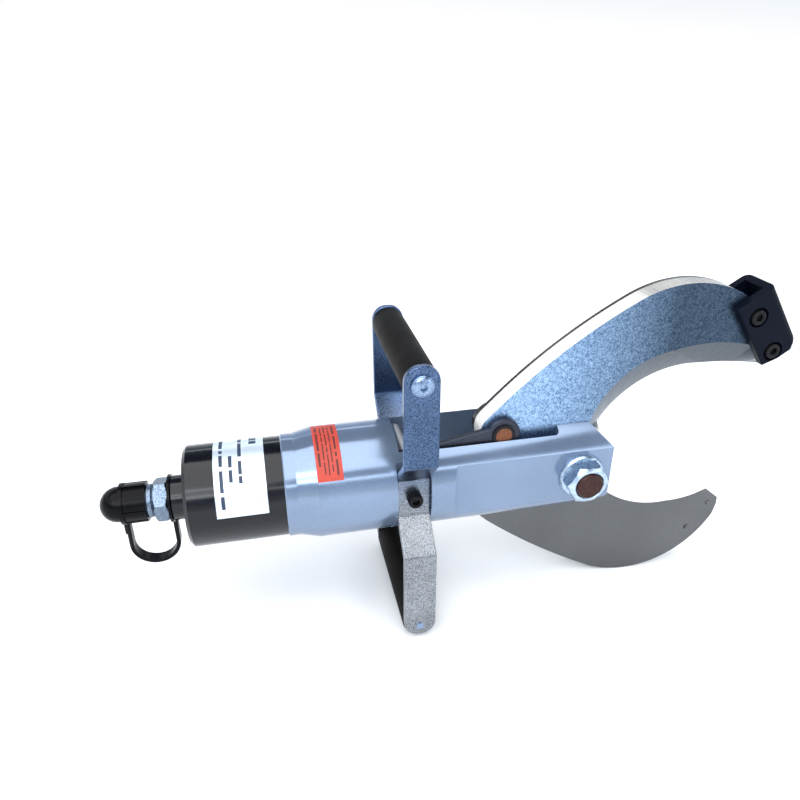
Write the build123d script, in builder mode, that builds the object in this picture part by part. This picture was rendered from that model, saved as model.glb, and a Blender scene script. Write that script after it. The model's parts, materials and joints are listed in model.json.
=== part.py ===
"""Hydraulic cable cutter head: ram body, two scissor blades, links, carrying handles and coupler.

The parts are modelled in the tool's own frame: the blade pivot is the origin, +X points to the jaws,
+Y to the far side and +Z up across the blades. Each finished piece is then stood on the ground,
on its lower grip and on the belly of its lower blade. All lengths are millimetres.
"""
from build123d import *
from math import asin, atan2, cos, degrees, hypot, radians, sin, sqrt
import os

os.makedirs("parts", exist_ok=True)

# ---------------------------------------------------------------- driving dimensions
# Fits
running_gap = 0.05          # radial play of a turned part in its bore
side_gap = 0.5              # side play between flat faces that move past each other
shear_gap = 0.1             # each blade's distance from the shear plane
seat_gap = 0.02             # slip between parts that are pushed together by hand

# Blades
blade_thickness = 20.2
hub_radius = 30.0
pivot_radius = 11.0         # fitted shank of the pivot bolt
bush_radius = 13.5
tail_x, tail_z = -62.3, 37.3
tail_radius = 17.5
tail_play = 3.3             # room round the link pin, where the closed linkage is opened
edge_relief = 2.0           # bevel on the outer edge of the upper blade
jaw_centre = (95.0, 5.0)
tip_holes = ((152.5, 75.5), (135.5, 101.0))     # in the lower blade, drawn with z upwards
tip_hole_radius = 2.5

# Links and ram
link_pin_radius = 6.4
link_eye_radius = 13.4
clip_radius = 9.0
clip_thickness = 1.2
link_thickness = 4.6
link_length = 80.0
crosshead_pin_z = 22.0
rod_radius = 14.0
crosshead_lobe = 10.0
rod_spigot_radius = 9.0

# Fork and body
body_radius = 43.1
fork_radius = 43.3
fork_front = 25.3
fork_wall = 4.4             # height of the fork's side flats over the handle recesses
fork_flat_start = -104.4
nose_chamfer = 13.0
nose_half_height = 35.3
body_rear = -229.9
body_step_radius = 39.6
body_step_length = 9.0
body_taper_length = 15.0
recess_wall = 5.1           # wall between the pocket and the flats that the handle plates sit on
pocket_front = -17.0
pocket_room = 0.7           # step between the slot's and the pocket's half widths
pocket_corner = 3.5
clip_room = 0.4             # from a clip's outer face to the slot's wall
slot_step = -121.0
crosshead_room = 5.2        # behind the crosshead, with the ram drawn back
roof_front = -144.5         # behind this the crosshead's slot is closed above and below
gland_wall = 13.0

# Barrel
barrel_radius = 38.35
barrel_rear = -301.3
barrel_floor = 15.0
barrel_spigot_radius = 33.0
barrel_spigot_length = 30.0
bore_radius = 27.5
boss_radius = 16.9
boss_length = 11.5
port_radius = 4.0

# Piston, spring and gland
piston_length = 22.0
spring_wire = 4.0
spring_turns = 7
spring_radius = 20.0
gland_radius = 19.0

# Coupler and its cap
strap_ring_width = 2.0
hex_across_flats = 29.0
hex_length = 10.8
nipple_length = 19.0
neck_radius = 12.7
neck_length = 4.8
cap_wall = 2.45
cap_length = 15.8
cap_dome_radius = 13.4
cap_dome_run = 1.8          # straight part between the collar and the dome
cap_collar = 3.2
cap_ring_radius = 15.6      # outside of the strap's ring on the cap
strap_thickness = 3.0
strap_width = 8.0
strap_drop = 54.0
strap_tab_width = 5.0       # loose end left below the ring on the cap
strap_tab_drop = 12.0
poppet_radius = 4.0

# Handles
plate_width = 25.0
plate_thickness = 5.0
plate_x = -135.2
plate_y = 61.6              # outer face of the handle plates' long ends
plate_top = 118.0
plate_bottom = -116.4
inner_bend_z = 15.6
upper_grip_z = 104.3
lower_grip_z = -107.6
grip_radius = 12.85
grip_core_radius = 8.0
grip_end_gap = 0.3

# Fasteners
mount_screw_radius = 4.0
mount_head_radius = 5.6
mount_head_height = 8.0
grip_bolt_head_radius = 8.0
grip_bolt_head_height = 3.8
grip_bolt_radius = 4.0
rivet_radius = 3.0
nut_across_flats = 30.0
nut_height = 12.0
nut_flange_radius = 18.5
nut_flange_height = 4.0
bolt_end_reach = 1.6        # thread end standing out of the nut
bolt_head_height = 12.5
thread_radius = 10.6
hex_face_radius = 13.4      # round top face of the nut and of the bolt head

# Guide bracket
bracket_wall = 7.0
bracket_angle = 34.1        # direction of its web, from +X
bracket_back = 166.0        # distance of its open side from the pivot, along that direction
bracket_front = 199.0       # distance of its web's outer face
bracket_low = -24.5
bracket_high = 37.3
bracket_corner = 8.0
bracket_clear_radius = 184.5
bracket_screw_out = 177.7
bracket_screw_places = (-15.3, 20.3)
bracket_screw_radius = 4.0
bracket_head_radius = 6.2
bracket_sink_radius = 8.0
bracket_head_height = 5.0
bracket_sink = 4.5
bracket_screw_stop = 4.2    # blade left under the screws' ends, more than the hole's
bracket_hole_stop = 4.0

# Labels
label_thickness = 0.25
rating_label_x = (-279.0, -242.4)
rating_label_angles = (4.0, 150.0)
warning_label_x = (-206.0, -187.0)
warning_label_angles = (31.0, 107.0)

# ---------------------------------------------------------------- worked-out places
cheek_y = blade_thickness + shear_gap + side_gap - 0.3
blade_side = blade_thickness + shear_gap
link_inner_y = blade_side + side_gap
link_outer_y = link_inner_y + link_thickness
crosshead_x = tail_x - sqrt(link_length**2 - (tail_z - crosshead_pin_z) ** 2)
slot_rear = crosshead_x - crosshead_lobe - crosshead_room
slot_half_width = link_outer_y + clip_thickness + clip_room
pocket_half_width = slot_half_width + pocket_room
recess_y = pocket_half_width + recess_wall
fork_flat_y = recess_y + fork_wall
gland_rear = slot_rear - gland_wall
chamber_rear = barrel_rear + barrel_floor
piston_front = chamber_rear + piston_length + 1.0
boss_rear = barrel_rear - boss_length
ring_rear = boss_rear - strap_ring_width
hex_rear = ring_rear - hex_length
neck_rear = hex_rear - neck_length
cap_front = neck_rear - 0.3
cap_rear = cap_front - cap_length
collar_rear = cap_rear - cap_collar
dome_rear = collar_rear - cap_dome_run
plate_inner_y = plate_y - plate_thickness
grip_half = plate_inner_y - grip_end_gap
mid_outer_y = recess_y + plate_thickness
bolt_end_y = -(fork_flat_y + nut_flange_height + nut_height + bolt_end_reach)

# Standing pose: the common tangent under the lower grip and the lower blade's belly.
lower_tip_corner = (162.2, 78.3)    # front corner of the lower blade, drawn with z upwards
lower_belly_centre = (80.0, 50.0)
lower_belly_radius = 89.3
upper_belly_centre = (80.0, 55.0)
upper_belly_radius = 90.5
grip_to_belly = (lower_belly_centre[0] - plate_x, -lower_belly_centre[1] - lower_grip_z)
tilt = degrees(
    asin((lower_belly_radius - grip_radius) / hypot(*grip_to_belly))
    - atan2(grip_to_belly[1], grip_to_belly[0])
)
ground_drop = (
    -plate_x * sin(radians(tilt)) - lower_grip_z * cos(radians(tilt)) + grip_radius
)
reach_rear = dome_rear * cos(radians(tilt)) - cap_dome_radius
reach_front = lower_tip_corner[0] * cos(radians(tilt)) + lower_tip_corner[1] * sin(radians(tilt))
standing = Location((-(reach_front + reach_rear) / 2, 0, ground_drop), (0, -tilt, 0))



def save(piece, label):
    """Label a finished piece, stand it on the ground and write its file."""
    piece.part.label = label
    export_step(piece.part.moved(standing), f"parts/{label}.step")


def across(y):
    """Plane facing +Y at a given y, with its x along +X and its y along +Z."""
    return Plane(origin=(0, y, 0), x_dir=(1, 0, 0), z_dir=(0, -1, 0))


def along(x):
    """Plane facing +X at a given x, with its x along +Y and its y along +Z."""
    return Plane(origin=(x, 0, 0), x_dir=(0, 1, 0), z_dir=(1, 0, 0))


def slab(y_low, y_high):
    """Sketch plane at the low y of a plate and the extrusion that reaches its high y."""
    return across(y_low), -(y_high - y_low)


def turned(profile):
    """Revolve a closed (x, radius) profile about the tool axis."""
    with BuildPart() as piece:
        with BuildSketch(Plane.XZ):
            with BuildLine():
                Polyline(*profile, close=True)
            make_face()
        revolve(axis=Axis.X)
    return piece


def tube(x_low, x_high, outer, inner):
    """Plain ring or tube about the tool axis."""
    return turned([(x_low, inner), (x_high, inner), (x_high, outer), (x_low, outer)])


# ---------------------------------------------------------------- blades
def toward_jaw(point, distance):
    """Move a cutting-edge point towards the middle of the jaw."""
    span = hypot(jaw_centre[0] - point[0], jaw_centre[1] - point[1])
    return (
        point[0] + distance * (jaw_centre[0] - point[0]) / span,
        point[1] + distance * (jaw_centre[1] - point[1]) / span,
    )


def on_circle(centre, radius, angle):
    """Point on a circle in the blade's plane."""
    return (centre[0] + radius * cos(radians(angle)), centre[1] + radius * sin(radians(angle)))


hub_corner = (28.4, sqrt(hub_radius**2 - 28.4**2))
edge_root = (28.1, 26.0)
upper_edge = [edge_root, (65.1, 61.3), (112.0, 70.2), (128.0, 69.6), (144.0, 68.2)]
lower_edge = [edge_root, (62.5, 58.3), (110.3, 67.7), (132.0, 65.6), (147.8, 60.0)]
upper_flat_edge = [(9.0, 30.5), (25.5, 67.2), (72.2, 93.0), (106.0, 96.6), (142.0, 91.0)]
lower_flat_edge = [(9.0, 30.5), (25.5, 66.0), (72.2, 90.0), (104.0, 93.0), (134.0, 86.0)]
back_root = (-62.0, 62.0)
back_angle = 118.0          # where the belly arc runs into the flatter back
tail_corner = on_circle((tail_x, tail_z), tail_radius, 137)


def blade_blank(belly_centre, belly_radius, edge, tip, relief):
    """Blade without its bevel: hub, tail and crescent, with the tip's corners from back to edge."""
    plane, depth = slab(-blade_side, -shear_gap)
    with BuildPart() as blank:
        with BuildSketch(plane):
            with BuildLine():
                belly_start = on_circle(belly_centre, belly_radius, back_angle)
                Line(tail_corner, back_root)
                TangentArc(belly_start, back_root,
                           tangent=(-sin(radians(back_angle)), cos(radians(back_angle))))
                ThreePointArc(
                    belly_start,
                    on_circle(belly_centre, belly_radius, 90),
                    tip[0],
                )
                Polyline(*tip, edge[4])
                ThreePointArc(edge[4], edge[3], edge[2])
                ThreePointArc(edge[2], edge[1], edge[0])
                Polyline(edge[0], hub_corner, (0, 0), (tail_x, tail_z), tail_corner)
            make_face()
        extrude(amount=depth)
        if relief:
            rim = blank.faces().sort_by(Axis.Y)[-1].edges().filter_by(GeomType.CIRCLE).filter_by(
                lambda e: (e @ 0.5).Z > 80)
            chamfer(rim, relief)
        with BuildSketch(plane):
            Circle(hub_radius)
            with Locations((tail_x, tail_z)):
                Circle(tail_radius)
            make_hull()
        extrude(amount=depth)
        with BuildSketch(plane):
            Circle(bush_radius)
            with Locations((tail_x + tail_play, tail_z)):
                Circle(link_pin_radius + tail_play + 0.3)
        extrude(amount=depth, mode=Mode.SUBTRACT)
    return blank


def bevel_cutter(flat_edge, edge, flat_tail, keen_tail):
    """Ruled wedge between the bevel's inner line on the side face and the cutting edge."""
    keen = [toward_jaw(point, 0.8) for point in edge]
    with BuildPart() as wedge:
        for y, line, tail in ((-blade_side - 0.5, flat_edge, flat_tail), (-shear_gap, keen, keen_tail)):
            with BuildSketch(across(y)):
                with BuildLine():
                    ThreePointArc(line[0], line[1], line[2])
                    ThreePointArc(line[2], line[3], line[4])
                    Polyline(line[4], *tail, (tail[-1][0], 30.0), (60.0, -5.0), (34.0, 14.0), line[0])
                make_face()
        loft(ruled=True)
    return wedge


# Upper blade, on the near side of the shear plane
bracket_dir = (cos(radians(bracket_angle)), sin(radians(bracket_angle)))
upper_tip = [
    on_circle(upper_belly_centre, upper_belly_radius, 59), (140.0, 124.0), (168.5, 88.0), (168.5, 64.6),
    (156.0, 66.7),
]
with BuildPart() as upper_blade:
    add(blade_blank(upper_belly_centre, upper_belly_radius, upper_edge, upper_tip, edge_relief).part)
    add(bevel_cutter(upper_flat_edge, upper_edge,
                     [(153.0, 80.5), (172.0, 79.5)], [(156.0, 66.0), (172.0, 63.0)]).part,
        mode=Mode.SUBTRACT)
    with BuildSketch(across(-blade_side)):
        for place in bracket_screw_places:
            with Locations((
                bracket_dir[0] * bracket_screw_out - bracket_dir[1] * place,
                bracket_dir[1] * bracket_screw_out + bracket_dir[0] * place,
            )):
                Circle(bracket_screw_radius + seat_gap)
    extrude(amount=-(blade_thickness - bracket_hole_stop), mode=Mode.SUBTRACT)
save(upper_blade, "upper_blade")

# Lower blade: made on the far side with z up, then turned over about the tool axis
lower_tip = [on_circle(lower_belly_centre, lower_belly_radius, 26.5), lower_tip_corner, (161.6, 71.5)]
lower_tip_flat = [(134.0, 86.0), (141.0, 94.0), (172.0, 90.0)]
lower_tip_keen = [(134.5, 64.4), (147.7, 59.2), (163.5, 72.6)]
with BuildPart() as lower_blade_up:
    add(blade_blank(lower_belly_centre, lower_belly_radius, lower_edge, lower_tip, 0).part)
    bevel_edge = lower_edge[:3] + [(122.0, 67.2), (135.0, 64.9)]
    add(bevel_cutter(lower_flat_edge, bevel_edge, [(150.0, 52.0)], [(150.0, 52.0)]).part,
        mode=Mode.SUBTRACT)
    with BuildPart() as tip_wedge:
        for y, corners in ((-blade_side - 0.5, lower_tip_flat), (-shear_gap, lower_tip_keen)):
            with BuildSketch(across(y)):
                Polygon(*corners, (175.0, 45.0), (134.0, 45.0), align=None)
        loft(ruled=True)
    add(tip_wedge.part, mode=Mode.SUBTRACT)
    with BuildSketch(across(-blade_side - 1)):
        for x, z in tip_holes:
            with Locations((x, z)):
                Circle(tip_hole_radius)
    extrude(amount=-(blade_thickness + 2), mode=Mode.SUBTRACT)
with BuildPart() as lower_blade:
    add(lower_blade_up.part.rotate(Axis.X, 180))
save(lower_blade, "lower_blade")

for label, y_low in (("upper_blade_bush", -blade_side), ("lower_blade_bush", shear_gap)):
    plane, depth = slab(y_low, y_low + blade_thickness)
    with BuildPart() as bush:
        with BuildSketch(plane):
            Circle(bush_radius)
            Circle(pivot_radius + running_gap, mode=Mode.SUBTRACT)
        extrude(amount=depth)
    save(bush, label)

# ---------------------------------------------------------------- guide bracket on the upper blade's tip
bracket_plane = Plane(origin=(0, 0, 0), x_dir=(bracket_dir[0], 0, bracket_dir[1]), z_dir=(0, -1, 0))
bracket_near_y = -blade_side - bracket_wall
bracket_far_y = side_gap + bracket_wall
with BuildPart() as guide_bracket:
    with BuildSketch(bracket_plane.offset(-bracket_near_y)):
        with BuildLine():
            Polyline(
                (bracket_back, bracket_low + 3.0),
                (bracket_back, bracket_high),
                (bracket_front, bracket_high - 1.5),
                (bracket_front, bracket_low + bracket_corner),
                (bracket_front - bracket_corner, bracket_low),
                (bracket_back + 13.0, bracket_low),
                close=True,
            )
        make_face()
    extrude(amount=-(bracket_far_y - bracket_near_y))
    outer_corners = guide_bracket.edges().filter_by(
        lambda e: abs(e.center().Y - bracket_near_y) < 0.01 or abs(e.center().Y - bracket_far_y) < 0.01
    ).filter_by(lambda e: e.center().X * bracket_dir[0] + e.center().Z * bracket_dir[1] > bracket_front - 0.3)
    fillet(outer_corners, bracket_wall - 0.8)
    rim = guide_bracket.faces().filter_by(Axis.Y).sort_by(Axis.Y)[0].outer_wire().edges()
    chamfer(rim, 0.8)
    with BuildSketch(bracket_plane.offset(blade_side)):
        with Locations(((bracket_back + bracket_front - bracket_wall) / 2 - 20, 0)):
            Rectangle(bracket_front - bracket_wall - bracket_back + 40, 200)
    extrude(amount=-(blade_side + side_gap), mode=Mode.SUBTRACT)
    with BuildSketch(across(-shear_gap)):
        Circle(bracket_clear_radius)
    extrude(amount=-(bracket_far_y + 1), mode=Mode.SUBTRACT)
    for place in bracket_screw_places:
        with BuildSketch(bracket_plane.offset(-bracket_near_y)):
            with Locations((bracket_screw_out, place)):
                Circle(bracket_screw_radius + 0.3)
        extrude(amount=-bracket_wall, mode=Mode.SUBTRACT)
        with BuildSketch(bracket_plane.offset(-bracket_near_y)):
            with Locations((bracket_screw_out, place)):
                Circle(bracket_sink_radius)
        extrude(amount=-bracket_sink, mode=Mode.SUBTRACT)
save(guide_bracket, "guide_bracket")


def cap_screw(plane, x, y, radius, length, head_radius, head_height, socket):
    """Socket cap screw: its head stands on the plane, towards the plane's normal."""
    with BuildPart() as screw:
        with BuildSketch(plane):
            with Locations((x, y)):
                Circle(head_radius)
        extrude(amount=head_height)
        rim = screw.edges().filter_by(GeomType.CIRCLE)
        chamfer(rim, 0.5)
        with BuildSketch(plane):
            with Locations((x, y)):
                Circle(radius)
        extrude(amount=-length)
        with BuildSketch(plane.offset(head_height)):
            with Locations((x, y)):
                RegularPolygon(socket / 2, 6, major_radius=False)
        extrude(amount=-head_height * 0.55, mode=Mode.SUBTRACT)
    return screw


with BuildPart() as bracket_screws:
    for place in bracket_screw_places:
        add(cap_screw(
            bracket_plane.offset(-bracket_near_y - bracket_sink), bracket_screw_out, place,
            bracket_screw_radius, blade_thickness - bracket_screw_stop,
            bracket_head_radius, bracket_head_height, 6.0,
        ).part)
save(bracket_screws, "bracket_screws")

# ---------------------------------------------------------------- links and their pins
# The upper blade is driven on the near side and the lower blade on the far side.
crosshead_half = link_inner_y - side_gap


def link_disc(y_low, y_high, centre, radius, hole=0.0):
    """Flat disc or ring across the tool, from one y to another."""
    plane, depth = slab(y_low, y_high)
    with BuildPart() as disc:
        with BuildSketch(plane):
            with Locations(centre):
                Circle(radius)
                if hole:
                    Circle(hole, mode=Mode.SUBTRACT)
        extrude(amount=depth)
    return disc


for side, label in ((1, "upper"), (-1, "lower")):
    pin_centre = (tail_x, side * tail_z)
    rod_centre = (crosshead_x, side * crosshead_pin_z)
    near = side > 0
    plane, depth = slab(*((-link_outer_y, -link_inner_y) if near else (link_inner_y, link_outer_y)))
    with BuildPart() as link:
        with BuildSketch(plane):
            for centre in (pin_centre, rod_centre):
                with Locations(centre):
                    Circle(link_eye_radius * 0.62)
            make_hull()
            for centre, radius in ((pin_centre, link_eye_radius), (rod_centre, crosshead_lobe)):
                with Locations(centre):
                    Circle(radius)
            with Locations(pin_centre):
                Circle(link_pin_radius, mode=Mode.SUBTRACT)
            with Locations(rod_centre):
                Circle(link_pin_radius + running_gap, mode=Mode.SUBTRACT)
        extrude(amount=depth)
        faces = link.faces().filter_by(Axis.Y).sort_by(Axis.Y)
        chamfer((faces[0] if near else faces[-1]).outer_wire().edges(), 0.6)
    save(link, f"{label}_link")
    pin_low, pin_high = (-link_outer_y - clip_thickness, -side_gap)
    if not near:
        pin_low, pin_high = -pin_high, -pin_low
    save(link_disc(pin_low, pin_high, pin_centre, link_pin_radius), f"{label}_link_pin")
    clip_low = -link_outer_y - clip_thickness if near else link_outer_y
    save(link_disc(clip_low, clip_low + clip_thickness, pin_centre, clip_radius, link_pin_radius),
         f"{label}_link_clip")

# ---------------------------------------------------------------- crosshead, rod and piston
crosshead_rear = crosshead_x - crosshead_lobe
with BuildPart() as crosshead:
    with BuildSketch(across(-crosshead_half)):
        for z in (crosshead_pin_z, -crosshead_pin_z):
            with Locations((crosshead_x, z)):
                Circle(crosshead_lobe)
        make_hull()
        for z in (crosshead_pin_z, -crosshead_pin_z):
            with Locations((crosshead_x, z)):
                Circle(link_pin_radius, mode=Mode.SUBTRACT)
    extrude(amount=-2 * crosshead_half)
    with BuildSketch(along(crosshead_rear - 0.5)):
        Circle(rod_spigot_radius)
    extrude(amount=2 * crosshead_lobe + 1, mode=Mode.SUBTRACT)
save(crosshead, "crosshead")

with BuildPart() as crosshead_pins:
    add(link_disc(-link_outer_y - clip_thickness, crosshead_half, (crosshead_x, crosshead_pin_z),
                  link_pin_radius).part)
    add(link_disc(-crosshead_half, link_outer_y + clip_thickness, (crosshead_x, -crosshead_pin_z),
                  link_pin_radius).part)
save(crosshead_pins, "crosshead_pins")
with BuildPart() as crosshead_clips:
    add(link_disc(-link_outer_y - clip_thickness, -link_outer_y, (crosshead_x, crosshead_pin_z),
                  clip_radius, link_pin_radius).part)
    add(link_disc(link_outer_y, link_outer_y + clip_thickness, (crosshead_x, -crosshead_pin_z),
                  clip_radius, link_pin_radius).part)
save(crosshead_clips, "crosshead_clips")

piston_x = piston_front - piston_length
with BuildPart() as piston_rod:
    add(turned([
        (piston_x + 1.0, 0), (crosshead_x + crosshead_lobe - 1.0, 0),
        (crosshead_x + crosshead_lobe - 1.0, rod_spigot_radius), (crosshead_rear, rod_spigot_radius),
        (crosshead_rear, rod_radius), (piston_front, rod_radius),
        (piston_front, rod_spigot_radius), (piston_x + 1.0, rod_spigot_radius),
    ]).part)
save(piston_rod, "piston_rod")

seal_groove = 5.0
seal_depth = 4.0
ring_groove = 6.0
with BuildPart() as piston:
    add(tube(piston_x, piston_front, bore_radius - 0.3, rod_spigot_radius).part)
    add(tube(piston_x + 4.0, piston_x + 4.0 + seal_groove, bore_radius + 1, bore_radius - seal_depth).part,
        mode=Mode.SUBTRACT)
    add(tube(piston_front - 9.0, piston_front - 9.0 + ring_groove, bore_radius + 1, bore_radius - 2.0).part,
        mode=Mode.SUBTRACT)
    add(tube(piston_x - 1, piston_x + 1.0, rod_spigot_radius + 6.0, 0).part, mode=Mode.SUBTRACT)
save(piston, "piston")
save(tube(piston_x + 4.0, piston_x + 4.0 + seal_groove, bore_radius - running_gap, bore_radius - seal_depth),
     "piston_seal")
save(tube(piston_front - 9.0, piston_front - 9.0 + ring_groove, bore_radius - running_gap, bore_radius - 2.0),
     "piston_guide_ring")

spring_seat_width = 3.0
spring_front = gland_rear - spring_seat_width
save(tube(spring_front, gland_rear, bore_radius - 0.3, rod_radius + 0.6), "spring_seat")
spring_pitch = (spring_front - piston_front - spring_wire) / spring_turns
with BuildPart() as return_spring:
    with BuildLine() as coil:
        Helix(
            pitch=spring_pitch, height=spring_pitch * spring_turns, radius=spring_radius,
            center=(piston_front + spring_wire / 2 + 0.02, 0, 0), direction=(1, 0, 0),
        )
    with BuildSketch(Plane(origin=coil.line @ 0, z_dir=coil.line % 0)):
        Circle(spring_wire / 2 - 0.05)
    sweep(path=coil.line)
save(return_spring, "return_spring")

wiper_width = 4.0
bush_length = gland_wall - wiper_width
with BuildPart() as gland_bush:
    add(tube(gland_rear, gland_rear + bush_length, gland_radius, rod_radius + running_gap).part)
save(gland_bush, "gland_bush")
save(tube(gland_rear + bush_length, slot_rear, gland_radius, rod_radius + running_gap), "rod_wiper")

# ---------------------------------------------------------------- aluminium body and fork
barrel_spigot_front = body_rear + barrel_spigot_length
with BuildPart() as main_body:
    add(turned([
        (body_rear, 0), (body_rear, body_step_radius - 0.8), (body_rear + 0.8, body_step_radius),
        (body_rear + body_step_length, body_step_radius),
        (body_rear + body_step_length + body_taper_length, body_radius),
        (plate_x - plate_width / 2 - 3.0, body_radius), (plate_x - plate_width / 2 - 3.0, fork_radius),
        (fork_front, fork_radius), (fork_front, 0),
    ]).part)
    for side in (1, -1):
        flat_length = fork_front - fork_flat_start + 1.0
        with BuildSketch(across(side * fork_flat_y)):
            with BuildLine():
                ThreePointArc((fork_flat_start + 3.0, -24.0), (fork_flat_start, 0),
                              (fork_flat_start + 3.0, 24.0))
                Polyline((fork_flat_start + 3.0, 24.0), (fork_front + 1.0, 24.0), (fork_front + 1.0, -24.0),
                         (fork_flat_start + 3.0, -24.0))
            make_face()
        extrude(amount=-side * 10.0, mode=Mode.SUBTRACT)
        with BuildSketch(across(side * recess_y)):
            with Locations((plate_x, 0)):
                Rectangle(plate_width + 0.6, 2 * fork_radius)
        extrude(amount=-side * 20.0, mode=Mode.SUBTRACT)
        with BuildSketch(Plane.XZ.offset(-fork_radius - 2)):
            with BuildLine():
                Polyline(
                    (fork_front - nose_chamfer, side * nose_half_height),
                    (fork_front + 1.0, side * (nose_half_height - nose_chamfer - 1.0)),
                    (fork_front + 1.0, side * 50.0),
                    (fork_front - nose_chamfer - 14.7, side * 50.0), close=True,
                )
            make_face()
        extrude(amount=2 * fork_radius + 4, mode=Mode.SUBTRACT)
    # Slots for the blades and the crosshead, open above and below
    for x_low, x_high, half, corner in (
        (pocket_front - 2.0, fork_front + 1.0, cheek_y, 0),
        (slot_step, pocket_front, pocket_half_width, pocket_corner),
        (roof_front, slot_step + 2 * pocket_corner, slot_half_width, 0),
    ):
        with BuildSketch(Plane.XY.offset(-50)):
            with Locations(((x_low + x_high) / 2, 0)):
                if corner:
                    RectangleRounded(x_high - x_low, 2 * half, corner)
                else:
                    Rectangle(x_high - x_low, 2 * half)
        extrude(amount=100, mode=Mode.SUBTRACT)
    with BuildSketch(along(slot_rear)):
        RectangleRounded(2 * slot_half_width, 2 * (crosshead_pin_z + crosshead_lobe + clip_room),
                         pocket_corner - 1.5)
    extrude(amount=roof_front - slot_rear + 1.0, mode=Mode.SUBTRACT)
    # Barrel thread, spring chamber and gland bore
    add(turned([
        (body_rear - 1, 0), (slot_rear + 1.0, 0), (slot_rear + 1.0, gland_radius + seat_gap),
        (gland_rear, gland_radius + seat_gap), (gland_rear, bore_radius),
        (barrel_spigot_front, bore_radius), (barrel_spigot_front, barrel_spigot_radius + seat_gap),
        (body_rear - 1, barrel_spigot_radius + seat_gap),
    ]).part, mode=Mode.SUBTRACT)
    # Pivot bore and the handle plates' screw holes
    with BuildSketch(across(-fork_radius - 1)):
        Circle(pivot_radius + running_gap)
        with Locations((plate_x, 0)):
            Circle(mount_screw_radius + seat_gap)
    extrude(amount=-2 * (fork_radius + 1), mode=Mode.SUBTRACT)
save(main_body, "main_body")

# ---------------------------------------------------------------- barrel
groove_width = 3.0
groove_depth = 2.4
with BuildPart() as barrel:
    add(turned([
        (boss_rear, port_radius), (boss_rear, boss_radius - 0.8), (boss_rear + 0.8, boss_radius),
        (barrel_rear, boss_radius), (barrel_rear, barrel_radius - 2.5), (barrel_rear + 2.5, barrel_radius),
        (body_rear - seat_gap, barrel_radius), (body_rear - seat_gap, barrel_spigot_radius),
        (barrel_spigot_front - 9.0, barrel_spigot_radius),
        (barrel_spigot_front - 9.0, barrel_spigot_radius - groove_depth),
        (barrel_spigot_front - 9.0 + groove_width, barrel_spigot_radius - groove_depth),
        (barrel_spigot_front - 9.0 + groove_width, barrel_spigot_radius),
        (barrel_spigot_front - seat_gap, barrel_spigot_radius), (barrel_spigot_front - seat_gap, bore_radius),
        (chamber_rear, bore_radius), (chamber_rear, port_radius),
    ]).part)
save(barrel, "barrel")
save(tube(barrel_spigot_front - 9.0, barrel_spigot_front - 9.0 + groove_width,
          barrel_spigot_radius, barrel_spigot_radius - groove_depth), "barrel_o_ring")

# ---------------------------------------------------------------- coupler, poppet and dust cap
poppet_bore = 6.0
seat_bore = 2.6
nipple_rear = neck_rear - nipple_length + neck_length
with BuildPart() as coupler:
    add(turned([
        (ring_rear, seat_bore), (ring_rear, neck_radius - 1.0), (nipple_rear, neck_radius - 1.0 - 1.0),
        (nipple_rear, poppet_radius + 0.3), (nipple_rear + 4.0, poppet_radius + 0.3),
        (nipple_rear + 4.0, poppet_bore), (ring_rear - 4.0, poppet_bore), (ring_rear - 4.0, seat_bore),
    ]).part)
    with BuildSketch(along(hex_rear)):
        RegularPolygon(hex_across_flats / 2, 6, major_radius=False)
        Circle(neck_radius - 1.5, mode=Mode.SUBTRACT)
    extrude(amount=hex_length)
    add(tube(neck_rear, hex_rear, neck_radius, neck_radius - 1.5).part)
    add(tube(ring_rear, boss_rear, neck_radius - 3.0, seat_bore).part)
save(coupler, "coupler")

with BuildPart() as poppet:
    add(turned([
        (nipple_rear + 0.4, 0), (nipple_rear + 4.1, 0), (nipple_rear + 7.1, 0),
        (nipple_rear + 7.1, poppet_bore - 0.3), (nipple_rear + 4.1, poppet_bore - 0.3),
        (nipple_rear + 4.1, poppet_radius), (nipple_rear + 0.4, poppet_radius),
    ]).part)
save(poppet, "coupler_poppet")

poppet_spring_start = nipple_rear + 7.1
poppet_spring_length = ring_rear - 4.0 - poppet_spring_start
poppet_wire = 0.8
poppet_turns = 5
with BuildPart() as poppet_spring:
    with BuildLine() as poppet_coil:
        Helix(
            pitch=(poppet_spring_length - poppet_wire - 0.1) / poppet_turns,
            height=poppet_spring_length - poppet_wire - 0.1, radius=4.4,
            center=(poppet_spring_start + poppet_wire / 2 + 0.05, 0, 0), direction=(1, 0, 0),
        )
    with BuildSketch(Plane(origin=poppet_coil.line @ 0, z_dir=poppet_coil.line % 0)):
        Circle(poppet_wire / 2)
    sweep(path=poppet_coil.line)
save(poppet_spring, "poppet_spring")

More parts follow.
